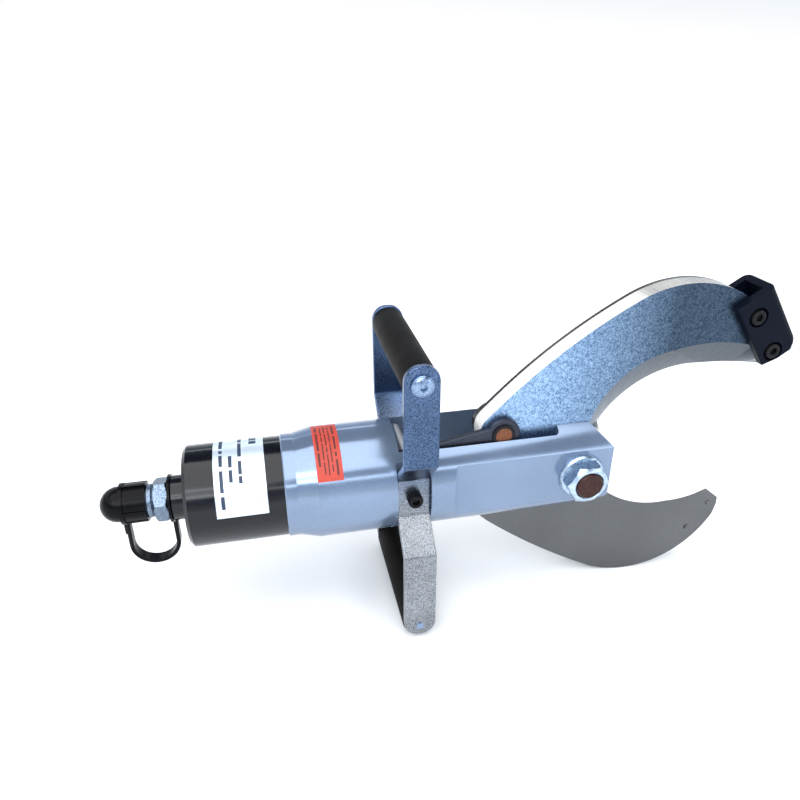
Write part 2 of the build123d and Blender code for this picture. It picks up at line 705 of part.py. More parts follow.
cap_bore = neck_radius - 1.0 + 0.35
cap_outer = cap_bore + cap_wall
rib_count = 8
rib_height = 0.8
with BuildPart() as dust_cap:
    with BuildSketch(Plane.XZ):
        with BuildLine():
            dome_start = (dome_rear, cap_dome_radius)
            Polyline(
                (dome_rear, 0), (nipple_rear - 1.5, 0), (nipple_rear - 1.5, cap_bore), (cap_front, cap_bore),
                (cap_front, cap_outer), (cap_rear, cap_outer), (cap_rear, cap_outer - 1.2),
                (collar_rear, cap_outer - 1.2), (collar_rear, cap_dome_radius), dome_start,
            )
            ThreePointArc(
                dome_start,
                (dome_rear - cap_dome_radius * sin(radians(45)), cap_dome_radius * cos(radians(45))),
                (dome_rear - cap_dome_radius, 0),
            )
            Line((dome_rear - cap_dome_radius, 0), (dome_rear, 0))
        make_face()
    revolve(axis=Axis.X)
    with BuildSketch(along(cap_rear)):
        with PolarLocations(cap_outer, rib_count):
            Rectangle(2 * rib_height, 2.4)
    extrude(amount=cap_length)
    add(tube(nipple_rear - 1.5, cap_front + 1, cap_bore, 0).part, mode=Mode.SUBTRACT)
save(dust_cap, "dust_cap")

# Cap strap: a ring round the coupler's neck, a ring round the cap's collar and a flat loop below
strap_mid = (boss_rear - strap_ring_width / 2, collar_rear + cap_collar / 2)
strap_ring_radius = boss_radius + 1.2
ring_bottom = -boss_radius - 0.6
cap_leg_top = -cap_ring_radius + 0.8
with BuildPart() as cap_strap:
    add(tube(ring_rear + 0.1, boss_rear - 0.1, strap_ring_radius, neck_radius - 2.9).part)
    add(tube(collar_rear + 0.2, cap_rear - 0.2, cap_ring_radius, cap_outer - 1.1).part)
    with BuildSketch(across(-strap_tab_width / 2)):
        with Locations((collar_rear + 0.2, -cap_ring_radius - strap_tab_drop / 2 + 1.5)):
            Rectangle(strap_thickness, strap_tab_drop)
    extrude(amount=-strap_tab_width)
    with BuildSketch(across(-strap_width / 2)):
        with BuildLine():
            loop_x = (strap_mid[0] + strap_mid[1]) / 2
            loop_half = (strap_mid[0] - strap_mid[1]) / 2
            outer = strap_thickness / 2
            half_out = loop_half + outer
            half_in = loop_half - outer
            bend_z = -strap_drop + loop_half
            Line((loop_x - half_out, cap_leg_top), (loop_x - half_out, bend_z))
            ThreePointArc((loop_x - half_out, bend_z), (loop_x, bend_z - half_out),
                          (loop_x + half_out, bend_z))
            Line((loop_x + half_out, bend_z), (loop_x + half_out, ring_bottom))
            Line((loop_x + half_out, ring_bottom), (loop_x + half_in, ring_bottom))
            Line((loop_x + half_in, ring_bottom), (loop_x + half_in, bend_z))
            ThreePointArc((loop_x + half_in, bend_z), (loop_x, bend_z - half_in), (loop_x - half_in, bend_z))
            Line((loop_x - half_in, bend_z), (loop_x - half_in, cap_leg_top))
            Line((loop_x - half_in, cap_leg_top), (loop_x - half_out, cap_leg_top))
        make_face()
    extrude(amount=-strap_width)
save(cap_strap, "cap_strap")

# ---------------------------------------------------------------- pivot bolt, nut and washer
def hex_prism(plane, across_flats, height, face_radius):
    """Hexagon standing on the plane, its corners turned off at 45 degrees down to a round top face."""
    with BuildPart() as prism:
        with BuildSketch(plane):
            RegularPolygon(across_flats / 2, 6, major_radius=False)
        extrude(amount=height)
        with BuildSketch(plane):
            Circle(face_radius + height)
        extrude(amount=height, taper=45, mode=Mode.INTERSECT)
    return prism


washer_y = fork_flat_y + 3.0
bolt_head_plane = Plane(origin=(0, washer_y, 0), x_dir=(1, 0, 0), z_dir=(0, 1, 0))
with BuildPart() as pivot_bolt:
    with BuildSketch(across(washer_y)):
        Circle(pivot_radius)
    extrude(amount=washer_y + fork_flat_y - 1.0)
    with BuildSketch(across(bolt_end_y)):
        Circle(thread_radius)
    extrude(amount=-(-bolt_end_y - fork_flat_y + 1.5))
    add(hex_prism(bolt_head_plane, nut_across_flats, bolt_head_height, hex_face_radius).part)
    end_edge = pivot_bolt.edges().filter_by(GeomType.CIRCLE).sort_by(Axis.Y)[0]
    chamfer(end_edge, 1.0)
save(pivot_bolt, "pivot_bolt")

with BuildPart() as pivot_nut:
    with BuildSketch(across(-fork_flat_y)):
        Circle(nut_flange_radius)
    extrude(amount=nut_flange_height - 1.0)
    add(hex_prism(across(-fork_flat_y), nut_across_flats, nut_flange_height + nut_height,
                  hex_face_radius).part)
    with BuildSketch(across(-fork_flat_y + 1)):
        Circle(thread_radius + seat_gap)
    extrude(amount=nut_flange_height + nut_height + 3, mode=Mode.SUBTRACT)
save(pivot_nut, "pivot_nut")

with BuildPart() as pivot_washer:
    with BuildSketch(across(washer_y)):
        Circle(nut_flange_radius)
        Circle(pivot_radius + seat_gap, mode=Mode.SUBTRACT)
    extrude(amount=washer_y - fork_flat_y)
save(pivot_washer, "pivot_washer")

# ---------------------------------------------------------------- handle plates
end_corner = 11.5
plate_rounding = 0.8
bend_radius = 4.0
bend_run = plate_y - mid_outer_y
outer_bend_z = inner_bend_z + bend_run
for side, label in ((-1, "near"), (1, "far")):
    with BuildPart() as handle_plate:
        with BuildSketch(along(plate_x - plate_width / 2)):
            with BuildLine():
                chamfered = plate_thickness * (sqrt(2) - 1)
                Polyline(
                    (side * mid_outer_y, -inner_bend_z), (side * mid_outer_y, inner_bend_z),
                    (side * plate_y, outer_bend_z), (side * plate_y, plate_top),
                    (side * plate_inner_y, plate_top), (side * plate_inner_y, outer_bend_z + chamfered),
                    (side * recess_y, inner_bend_z + chamfered), (side * recess_y, -inner_bend_z - chamfered),
                    (side * plate_inner_y, -outer_bend_z - chamfered), (side * plate_inner_y, plate_bottom),
                    (side * plate_y, plate_bottom), (side * plate_y, -outer_bend_z), close=True,
                )
            make_face()
        extrude(amount=plate_width)
        bends = handle_plate.edges().filter_by(Axis.X).filter_by(
            lambda e: abs(e.center().Z) < outer_bend_z + plate_thickness)
        fillet(bends, bend_radius)
        end_edges = handle_plate.edges().filter_by(Axis.Y).filter_by(
            lambda e: e.center().Z > plate_top - 1 or e.center().Z < plate_bottom + 1)
        fillet(end_edges, end_corner)
        rims = handle_plate.faces().filter_by(Axis.X).edges()
        fillet(rims, plate_rounding)
        with BuildSketch(across(side * plate_y)):
            with Locations((plate_x, 0)):
                Circle(mount_screw_radius + 0.3)
            with Locations((plate_x, upper_grip_z)):
                Circle(grip_bolt_radius + 0.3)
            with Locations((plate_x, lower_grip_z)):
                Circle(rivet_radius + seat_gap)
        extrude(amount=side * (plate_y - recess_y + 1), mode=Mode.SUBTRACT)
    save(handle_plate, f"{label}_handle_plate")

for z, label, hole in ((upper_grip_z, "upper", grip_bolt_radius), (lower_grip_z, "lower", rivet_radius)):
    with BuildPart() as grip_core:
        with BuildSketch(across(-plate_inner_y)):
            with Locations((plate_x, z)):
                Circle(grip_core_radius)
        extrude(amount=-2 * plate_inner_y)
        for side in (-1, 1):
            with BuildSketch(across(side * plate_inner_y)):
                with Locations((plate_x, z)):
                    Circle(hole + seat_gap)
            extrude(amount=side * 18.0, mode=Mode.SUBTRACT)
    save(grip_core, f"{label}_grip_core")
    with BuildPart() as grip_sleeve:
        with BuildSketch(across(-grip_half)):
            with Locations((plate_x, z)):
                Circle(grip_radius)
                Circle(grip_core_radius, mode=Mode.SUBTRACT)
        extrude(amount=-2 * grip_half)
        rims = grip_sleeve.edges().filter_by(GeomType.CIRCLE).filter_by(
            lambda e: abs(e.radius - grip_radius) < 0.01)
        fillet(rims, 1.0)
    save(grip_sleeve, f"{label}_grip_sleeve")

with BuildPart() as grip_bolts:
    for side in (-1, 1):
        face = across(side * plate_y) if side < 0 else Plane(
            origin=(0, plate_y, 0), x_dir=(1, 0, 0), z_dir=(0, 1, 0))
        z_local = upper_grip_z if side < 0 else -upper_grip_z
        with BuildSketch(face):
            with Locations((plate_x, z_local)):
                Circle(grip_bolt_head_radius)
        extrude(amount=grip_bolt_head_height, taper=12)
        with BuildSketch(face):
            with Locations((plate_x, z_local)):
                Circle(grip_bolt_radius)
        extrude(amount=-plate_thickness - 16.0)
        with BuildSketch(face.offset(grip_bolt_head_height)):
            with Locations((plate_x, z_local)):
                RegularPolygon(2.5, 6, major_radius=False)
        extrude(amount=-2.6, mode=Mode.SUBTRACT)
    domes = grip_bolts.edges().filter_by(GeomType.CIRCLE).filter_by(
        lambda e: abs(abs(e.center().Y) - plate_y - grip_bolt_head_height) < 0.01)
    fillet(domes, 1.6)
save(grip_bolts, "grip_bolts")

with BuildPart() as grip_rivets:
    for side in (-1, 1):
        with BuildSketch(across(side * (plate_y + 0.6))):
            with Locations((plate_x, lower_grip_z)):
                Circle(rivet_radius)
        extrude(amount=side * (plate_thickness + 12.0))
save(grip_rivets, "grip_rivets")

with BuildPart() as mount_screws:
    for side in (-1, 1):
        face = Plane(origin=(plate_x, side * mid_outer_y, 0), x_dir=(1, 0, 0),
                     z_dir=(0, side, 0))
        add(cap_screw(face, 0, 0, mount_screw_radius, plate_thickness + 4.0,
                      mount_head_radius, mount_head_height, 6.0).part)
save(mount_screws, "handle_mount_screws")

# ---------------------------------------------------------------- labels
def wrapped_label(x_range, angles, radius):
    """Thin label wrapped on a cylinder; angles are above the near side's -Y direction."""
    with BuildPart() as label:
        with BuildSketch(along(x_range[0])):
            with BuildLine():
                corners = []
                for r in (radius, radius + label_thickness):
                    row = [Vector(-r * cos(radians(a)), r * sin(radians(a)))
                           for a in (angles[0], (angles[0] + angles[1]) / 2, angles[1])]
                    corners.append(row)
                ThreePointArc(*corners[0])
                ThreePointArc(*corners[1])
                Line(corners[0][0], corners[1][0])
                Line(corners[0][2], corners[1][2])
            make_face()
        extrude(amount=x_range[1] - x_range[0])
    return label


save(wrapped_label(rating_label_x, rating_label_angles, barrel_radius), "rating_label")
save(wrapped_label(warning_label_x, warning_label_angles, body_radius), "warning_label")

print("standing", standing.position, "tilt", round(tilt, 4), "crosshead x", round(crosshead_x, 3))
print("coupler end", round(nipple_rear, 3), "cap front", round(cap_front, 3), "poppet", round(ring_rear, 3))
print("spring", round(piston_front, 3), round(spring_front, 3))
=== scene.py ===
"""Looks of a hydraulic cable cutter head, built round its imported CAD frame.

Shapes are modelled in the tool's own frame, in millimetres from the blade pivot (+X to the jaws,
+Y to the far side, +Z up across the blades), and are put into the standing row frame at the end.
"""

import json
import logging
import math
from collections.abc import Iterable
from dataclasses import dataclass, field
from enum import Enum

import bmesh
import bpy
from mathutils import Matrix, Vector

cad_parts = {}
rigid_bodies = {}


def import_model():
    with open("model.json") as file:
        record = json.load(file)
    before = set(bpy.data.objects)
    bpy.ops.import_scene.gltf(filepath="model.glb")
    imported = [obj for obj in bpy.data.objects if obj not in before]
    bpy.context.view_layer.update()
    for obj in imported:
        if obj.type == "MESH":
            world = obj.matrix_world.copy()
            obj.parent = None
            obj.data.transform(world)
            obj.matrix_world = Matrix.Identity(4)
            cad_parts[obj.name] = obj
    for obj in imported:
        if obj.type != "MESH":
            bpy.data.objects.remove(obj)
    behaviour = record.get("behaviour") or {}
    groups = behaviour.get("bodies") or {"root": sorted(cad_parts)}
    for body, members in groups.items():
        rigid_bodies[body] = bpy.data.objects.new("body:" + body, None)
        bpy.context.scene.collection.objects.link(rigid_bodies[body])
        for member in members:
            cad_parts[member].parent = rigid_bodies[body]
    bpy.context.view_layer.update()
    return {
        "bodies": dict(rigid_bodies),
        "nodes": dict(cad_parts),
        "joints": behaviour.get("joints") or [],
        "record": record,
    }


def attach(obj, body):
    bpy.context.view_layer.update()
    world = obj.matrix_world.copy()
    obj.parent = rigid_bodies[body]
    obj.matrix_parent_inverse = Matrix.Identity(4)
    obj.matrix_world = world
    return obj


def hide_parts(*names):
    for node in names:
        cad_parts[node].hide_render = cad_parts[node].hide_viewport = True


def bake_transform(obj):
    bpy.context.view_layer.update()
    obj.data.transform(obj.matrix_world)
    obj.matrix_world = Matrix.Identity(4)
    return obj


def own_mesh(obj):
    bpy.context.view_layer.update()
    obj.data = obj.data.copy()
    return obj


LOG = logging.getLogger("cutter")
MM = 0.001
Colour = tuple[float, float, float]


class Side(Enum):
    """The two sides of the tool, by the sign of their Y."""

    NEAR = -1
    FAR = 1


# ---------------------------------------------------------------- tool frame
@dataclass
class Span:
    """Lowest and highest corners of a node in the tool frame, in millimetres."""

    low: Vector
    high: Vector

    @classmethod
    def around(cls, points: list[Vector]) -> "Span":
        """The smallest span round some points.

        Args:
            points: The points.

        Returns:
            Their span.
        """
        low = Vector([min(point[i] for point in points) for i in range(3)])
        high = Vector([max(point[i] for point in points) for i in range(3)])
        return cls(low, high)

    @property
    def middle(self) -> Vector:
        """Centre of the span."""
        return (self.low + self.high) / 2

    @property
    def size(self) -> Vector:
        """Extent of the span along each tool axis."""
        return self.high - self.low


@dataclass
class Tool:
    """Places the tool frame in the row frame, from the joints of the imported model."""

    frame: dict
    matrix: Matrix = field(init=False)

    def __post_init__(self) -> None:
        """Read the pivot and the ram's direction."""
        joints = {joint["name"]: joint for joint in self.frame["joints"]}
        along = Vector(joints["rod_slide"]["axis"]).normalized()
        across = Vector((0.0, 1.0, 0.0))
        up = along.cross(across)
        turn = Matrix((along, across, up)).transposed().to_4x4()
        self.matrix = Matrix.Translation(joints["upper_blade_hinge"]["pos_m"]) @ turn @ Matrix.Scale(MM, 4)

    def put(self, x: float, y: float, z: float) -> Vector:
        """Turn tool millimetres into row metres."""
        return self.matrix @ Vector((x, y, z))

    def span(self, node: str) -> Span:
        """Measure a CAD node in the tool frame.

        Args:
            node: Name of the node.

        Returns:
            Its span in millimetres.
        """
        inverse = self.matrix.inverted()
        points = [inverse @ vertex.co for vertex in self.frame["nodes"][node].data.vertices]
        return Span.around(points)


# ---------------------------------------------------------------- finishes
def fill_ramp(node: bpy.types.Node, stops: Iterable[tuple[float, Colour]]) -> None:
    """Give a colour ramp its stops.

    Args:
        node: Ramp node, with the two stops that it starts with.
        stops: Places and colours.
    """
    stops = list(stops)
    elements = node.color_ramp.elements
    while len(elements) < len(stops):
        elements.new(0.5)
    for element, (place, colour) in zip(elements, stops):
        element.position = place
        element.color = (*colour, 1.0)


class Shader:
    """One material's node tree, with short calls for its nodes."""

    def __init__(self, name: str) -> None:
        """Start an empty tree with a principled shader.

        Args:
            name: Name of the material.
        """
        self.material = bpy.data.materials.new(name)
        self.material.use_nodes = True
        self.tree = self.material.node_tree
        self.tree.nodes.clear()
        self.out = self.tree.nodes.new("ShaderNodeOutputMaterial")
        self.body = self.tree.nodes.new("ShaderNodeBsdfPrincipled")
        self.tree.links.new(self.body.outputs[0], self.out.inputs[0])

    def node(self, kind: str, **inputs: object) -> bpy.types.Node:
        """Add a node and set or link its inputs by name.

        Args:
            kind: Node type without its ShaderNode prefix.
            **inputs: Values or sockets for the inputs, with _ for a space.

        Returns:
            The new node.
        """
        node = self.tree.nodes.new("ShaderNode" + kind)
        for name, value in inputs.items():
            self.set(node.inputs[name.replace("_", " ")], value)
        return node

    def set(self, socket: bpy.types.NodeSocket, value: object) -> None:
        """Link a socket to another, or give it a plain value.

        Args:
            socket: Input to fill.
            value: Another node's output, a colour or a number.
        """
        if isinstance(value, bpy.types.NodeSocket):
            self.tree.links.new(value, socket)
        elif isinstance(value, tuple) and len(value) == 3 and socket.type == "RGBA":
            socket.default_value = (*value, 1.0)
        else:
            socket.default_value = value

    def coords(self, stretch: tuple[float, float, float] = (1.0, 1.0, 1.0),
               turn: float = 0.0) -> bpy.types.NodeSocket:
        """Object coordinates, turned about Y into the tool's direction and stretched.

        Args:
            stretch: Scale along each axis.
            turn: Turn about Y in radians.

        Returns:
            The coordinates' socket.
        """
        source = self.node("TexCoord").outputs["Object"]
        mapping = self.node("Mapping", Vector=source)
        mapping.inputs["Rotation"].default_value = (0.0, turn, 0.0)
        mapping.inputs["Scale"].default_value = stretch
        return mapping.outputs[0]

    def noise(self, vector: bpy.types.NodeSocket, scale: float, detail: float = 3.0,
              roughness: float = 0.55) -> bpy.types.NodeSocket:
        """Noise factor.

        Args:
            vector: Coordinates to read.
            scale: Frequency per metre.
            detail: Octaves of finer noise.
            roughness: Strength of the finer noise.

        Returns:
            The factor's socket.
        """
        return self.node("TexNoise", Vector=vector, Scale=scale, Detail=detail,
                         Roughness=roughness).outputs["Fac"]

    def ramp(self, fac: bpy.types.NodeSocket, stops: list[tuple[float, Colour]]) -> bpy.types.NodeSocket:
        """Colour ramp.

        Args:
            fac: Place on the ramp.
            stops: Places and colours of its stops.

        Returns:
            The colour's socket.
        """
        node = self.node("ValToRGB", Fac=fac)
        fill_ramp(node, stops)
        return node.outputs["Color"]

    def level(self, fac: object, low: float, high: float, to_low: float,
              to_high: float) -> bpy.types.NodeSocket:
        """Map a factor from one range to another, clamped.

        Args:
            fac: The factor.
            low: Start of its range.
            high: End of its range.
            to_low: Result at the start.
            to_high: Result at the end.

        Returns:
            The result's socket.
        """
        node = self.tree.nodes.new("ShaderNodeMapRange")
        self.set(node.inputs[0], fac)
        for index, value in enumerate((low, high, to_low, to_high), start=1):
            node.inputs[index].default_value = value
        return node.outputs[0]

    def math(self, operation: str, a: object, b: object = 0.0) -> bpy.types.NodeSocket:
        """Scalar arithmetic.

        Args:
            operation: Name of the operation.
            a: First number or socket.
            b: Second number or socket.

        Returns:
            The result's socket.
        """
        node = self.tree.nodes.new("ShaderNodeMath")
        node.operation = operation
        self.set(node.inputs[0], a)
        self.set(node.inputs[1], b)
        return node.outputs[0]

    def mix(self, fac: object, a: object, b: object, blend: str = "MIX") -> bpy.types.NodeSocket:
        """Mix two colours.

        Args:
            fac: Share of the second colour.
            a: First colour or socket.
            b: Second colour or socket.
            blend: How the second is laid on the first.

        Returns:
            The mixed colour's socket.
        """
        node = self.tree.nodes.new("ShaderNodeMix")
        node.data_type = "RGBA"
        node.blend_type = blend
        self.set(node.inputs[0], fac)
        self.set(node.inputs[6], a)
        self.set(node.inputs[7], b)
        return node.outputs[2]

    def shaded(self, colour: object, shade: bpy.types.NodeSocket) -> bpy.types.NodeSocket:
        """Darken a colour by a grey factor.

        Args:
            colour: Colour or socket.
            shade: The factor, 1 for no change.

        Returns:
            The darkened colour's socket.
        """
        grey = self.node("CombineColor", Red=shade, Green=shade, Blue=shade).outputs[0]
        return self.mix(1.0, colour, grey, "MULTIPLY")

    def axis(self, vector: bpy.types.NodeSocket, name: str) -> bpy.types.NodeSocket:
        """One component of a vector, X, Y or Z."""
        return self.node("SeparateXYZ", Vector=vector).outputs[name]

    def normal(self) -> bpy.types.NodeSocket:
        """The surface's normal."""
        return self.node("NewGeometry").outputs["Normal"]

    def bump(self, height: bpy.types.NodeSocket, strength: float, distance: float,
             under: bpy.types.NodeSocket | None = None) -> bpy.types.NodeSocket:
        """Bump normal of a height.

        Args:
            height: Height factor.
            strength: Strength of the bump.
            distance: Depth of the relief in metres.
            under: Normal that it is laid on, if any.

        Returns:
            The normal's socket.
        """
        node = self.node("Bump", Height=height)
        node.inputs["Strength"].default_value = strength
        node.inputs["Distance"].default_value = distance
        if under is not None:
            self.set(node.inputs["Normal"], under)
        return node.outputs[0]


@dataclass(frozen=True)
class MetalFinish:
    """Bare, plated or blackened metal.

    Attributes:
        name: Material name.
        dark: Colour in the grain's hollows.
        light: Colour on the grain's tops.
        roughness: Lowest and highest roughness.
        grain: Grain frequency per metre.
        stretch: Grain stretch along row X, Y and Z.
        relief: Depth of the grain in metres.
        metallic: Metal share.
        coat: Clear film on the metal.
        stains: Strength of large soft marks.
        gloss: Specular level.
        painted_height_tints: Painted light and shade: colours multiplied in below and above the tool's middle
            height, lighter and warm below, darker and bluer above.
    """

    name: str
    dark: Colour
    light: Colour
    roughness: tuple[float, float] = (0.25, 0.4)
    grain: float = 900.0
    stretch: tuple[float, float, float] = (1.0, 1.0, 1.0)
    relief: float = 0.00002
    metallic: float = 1.0
    coat: float = 0.0
    stains: float = 0.15
    gloss: float = 0.5
    painted_height_tints: tuple[Colour, Colour] | None = None

    def make(self, turn: float = 0.0) -> bpy.types.Material:
        """Build the material, with its grain turned about Y.

        Args:
            turn: Tool tilt in radians.

        Returns:
            The material.
        """
        return self.dress(turn).material

    def dress(self, turn: float) -> Shader:
        """Lay out the material's nodes.

        Args:
            turn: Tool tilt in radians.

        Returns:
            The shader.
        """
        shader = Shader(self.name)
        fine = shader.noise(shader.coords(self.stretch, turn), self.grain, 4.0, 0.6)
        broad = shader.noise(shader.coords(), 22.0, 3.0, 0.5)
        tone = shader.ramp(fine, [(0.36, self.dark), (0.64, self.light)])
        shade = shader.level(broad, 0.35, 0.7, 1.0 - self.stains, 1.0)
        colour = shader.shaded(tone, shade)
        # Painted light and shade: the colour is multiplied by a warm tint below and a dark bluish tint above
        # the middle height.
        if self.painted_height_tints is not None:
            height = shader.axis(shader.coords(), "Z")
            painted_light_tint = shader.mix(shader.level(height, 0.10, 0.16, 0.0, 1.0), *self.painted_height_tints)
            colour = shader.mix(1.0, colour, painted_light_tint, "MULTIPLY")
        shader.set(shader.body.inputs["Base Color"], colour)
        shader.body.inputs["Metallic"].default_value = self.metallic
        shader.body.inputs["Coat Weight"].default_value = self.coat
        shader.body.inputs["Coat Roughness"].default_value = 0.12
        shader.body.inputs["Specular IOR Level"].default_value = self.gloss
        rough = shader.math("ADD", shader.level(fine, 0.3, 0.7, *self.roughness),
                            shader.level(broad, 0.4, 0.7, 0.0, 0.06))
        shader.set(shader.body.inputs["Roughness"], rough)
        shader.set(shader.body.inputs["Normal"], shader.bump(fine, 0.6, self.relief))
        return shader


@dataclass(frozen=True)
class TurnedFinish(MetalFinish):
    """Metal with fine turning marks: narrow bands along the tool's axis.

    Attributes:
        bands: Turning-mark frequency per metre.
        band_relief: Depth of the marks in metres.
    """

    bands: float = 2600.0
    band_relief: float = 0.000006

    def dress(self, turn: float) -> Shader:
        """Lay out the material's nodes, with bands across the tool's axis.

        Args:
            turn: Tool tilt in radians.

        Returns:
            The shader.
        """
        shader = super().dress(turn)
        bands = shader.noise(shader.coords((1.0, 0.02, 0.02), turn), self.bands, 2.0, 0.5)
        under = shader.body.inputs["Normal"].links[0].from_socket
        shader.set(shader.body.inputs["Normal"], shader.bump(bands, 0.5, self.band_relief, under))
        return shader


@dataclass(frozen=True)
class BladeFinish:
    """Forged blade: speckled sides, machined rim and a ground bevel.

    Attributes:
        name: Material name.
        dark: Colour in the speckle's hollows.
        light: Colour on the speckle's tops.
        rim: Colour of the machined outer edge.
        ground: Colour of the ground bevel.
        speckle: Strength of the side's speckle.
        roughness: Lowest and highest roughness of the sides.
        tip_shade: How dark the side gets towards the tip, 1 for no change.
        tip_reach: Where that darkening starts and ends along the row frame, in metres.
        tip_brown: Tint of the bevel at the tip.
        far_side_shade: Painted shade: a dark colour laid on the outer edge's far border and on the chamfer
            beyond it that faces the far side.
        far_shade_reach: Start and end of that painted shade's fade across the blade, in metres.
    """

    name: str
    dark: Colour
    light: Colour
    rim: Colour
    ground: Colour
    speckle: float = 1.0
    roughness: tuple[float, float] = (0.3, 0.5)
    tip_shade: float = 1.0
    tip_reach: tuple[float, float] = (0.10, 0.205)
    tip_brown: Colour = (0.75, 0.5, 0.35)
    far_side_shade: Colour | None = None
    far_shade_reach: tuple[float, float] = (-0.0062, -0.0050)

    def make(self, turn: float = 0.0) -> bpy.types.Material:
        """Build the material; faces are told apart by how squarely they face sideways.

        Args:
            turn: Tool tilt in radians.

        Returns:
            The material.
        """
        shader = Shader(self.name)
        plain = shader.coords()
        fine = shader.noise(plain, 1500.0, 4.0, 0.65)
        coarse = shader.noise(plain, 620.0, 3.0, 0.6)
        broad = shader.noise(plain, 14.0, 3.0, 0.5)
        speckle = shader.math("ADD", shader.math("MULTIPLY", fine, 0.65),
                              shader.math("MULTIPLY", coarse, 0.35))
        scratch = shader.noise(shader.coords((1.0, 0.04, 0.12), turn), 900.0, 3.0, 0.6)
        tip = self.tip(shader, broad, turn)
        facing = shader.axis(shader.normal(), "Y")
        squarely = shader.math("ABSOLUTE", facing)
        is_side = shader.level(squarely, 0.94, 0.985, 0.0, 1.0)
        is_bevel = shader.math("MULTIPLY", shader.level(squarely, 0.25, 0.4, 0.0, 1.0),
                               shader.level(squarely, 0.985, 0.94, 0.0, 1.0))
        ground = self.bevel_colour(shader, scratch, tip, facing)
        colour = shader.mix(is_bevel, self.rim_colour(shader, turn), ground)
        colour = shader.mix(is_side, colour, self.side_colour(shader, speckle, broad, tip))
        shader.set(shader.body.inputs["Base Color"], colour)
        bare = shader.math("ADD", is_side, is_bevel)
        shader.set(shader.body.inputs["Metallic"], shader.level(bare, 0.0, 1.0, 0.15, 1.0))
        rough_side = shader.level(speckle, 0.35, 0.65, self.roughness[1], self.roughness[0])
        rough_cut = shader.level(scratch, 0.3, 0.7, 0.22, 0.38)
        rough = shader.math("ADD", shader.math("MULTIPLY", rough_side, is_side),
                            shader.math("MULTIPLY", rough_cut, shader.math("SUBTRACT", 1.0, is_side)))
        shader.set(shader.body.inputs["Roughness"], rough)
        side_height = shader.math("MULTIPLY", speckle, shader.math("MULTIPLY", is_side, self.speckle))
        bevel_height = shader.math("MULTIPLY", scratch, shader.math("MULTIPLY", is_bevel, 0.6))
        height = shader.math("ADD", side_height, bevel_height)
        shader.set(shader.body.inputs["Normal"], shader.bump(height, 0.7, 0.00011))
        return shader.material

    def tip(self, shader: Shader, broad: bpy.types.NodeSocket, turn: float) -> bpy.types.NodeSocket:
        """Factor that falls from 1 to the tip's shade along the blade.

        Args:
            shader: The shader.
            broad: Broad noise that makes the fall uneven.
            turn: Tool tilt in radians.

        Returns:
            The factor's socket.
        """
        along = shader.axis(shader.coords((1.0, 1.0, 1.0), turn), "X")
        uneven = shader.math("ADD", along, shader.math("MULTIPLY", broad, 0.05))
        return shader.level(uneven, *self.tip_reach, 1.0, self.tip_shade)

    def side_colour(self, shader: Shader, speckle: bpy.types.NodeSocket, broad: bpy.types.NodeSocket,
                    tip: bpy.types.NodeSocket) -> bpy.types.NodeSocket:
        """Colour of the blade's sides.

        Args:
            shader: The shader.
            speckle: Fine noise.
            broad: Broad noise.
            tip: Factor that darkens the tip.

        Returns:
            The colour's socket.
        """
        side = shader.ramp(speckle, [(0.40, self.dark), (0.60, self.light)])
        return shader.shaded(shader.shaded(side, shader.level(broad, 0.3, 0.7, 0.86, 1.0)), tip)

    def rim_colour(self, shader: Shader, turn: float) -> bpy.types.NodeSocket:
        """Colour of the machined outer edge, with painted shade where it faces up and a painted dark far
        border on blades that have one.

        Args:
            shader: The shader.
            turn: Tool tilt in radians.

        Returns:
            The colour's socket.
        """
        cross = shader.noise(shader.coords((0.35, 1.0, 0.35), turn), 1300.0, 2.0, 0.6)
        rim = shader.mix(shader.level(cross, 0.3, 0.7, 0.0, 1.0), self.rim, tuple(0.93 * c for c in self.rim))
        # Painted shade: where the rim's normal faces up, its colour falls towards a third of the rim colour.
        wear_and_shade = shader.level(shader.axis(shader.normal(), "Z"), 0.84, 0.9, 0.0, 0.85)
        rim = shader.mix(wear_and_shade, rim, tuple(0.3 * c for c in self.rim))
        # Painted shade: a near-black band along the rim's far border.
        if self.far_side_shade is not None:
            in_far_shade = shader.level(shader.axis(shader.coords(), "Y"), *self.far_shade_reach, 0.0, 1.0)
            rim = shader.mix(in_far_shade, rim, self.far_side_shade)
        return rim

    def bevel_colour(self, shader: Shader, scratch: bpy.types.NodeSocket, tip: bpy.types.NodeSocket,
                     facing: bpy.types.NodeSocket) -> bpy.types.NodeSocket:
        """Colour of the ground bevel, brown towards the tip, with painted shade where it faces the far side.

        Args:
            shader: The shader.
            scratch: Noise drawn out into grinding marks.
            tip: Factor that darkens the tip.
            facing: How far the surface faces the far side.

        Returns:
            The colour's socket.
        """
        bright = tuple(min(1.0, 1.5 * c) for c in self.ground)
        ground = shader.mix(shader.level(scratch, 0.35, 0.65, 0.0, 1.0), self.ground, bright)
        ground = shader.mix(1.0, ground, shader.mix(tip, self.tip_brown, (1.0, 1.0, 1.0)), "MULTIPLY")
        # Painted shade: bevel faces turned to the far side are painted near-black.
        if self.far_side_shade is not None:
            ground = shader.mix(shader.level(facing, 0.4, 0.6, 0.0, 1.0), ground, self.far_side_shade)
        return ground


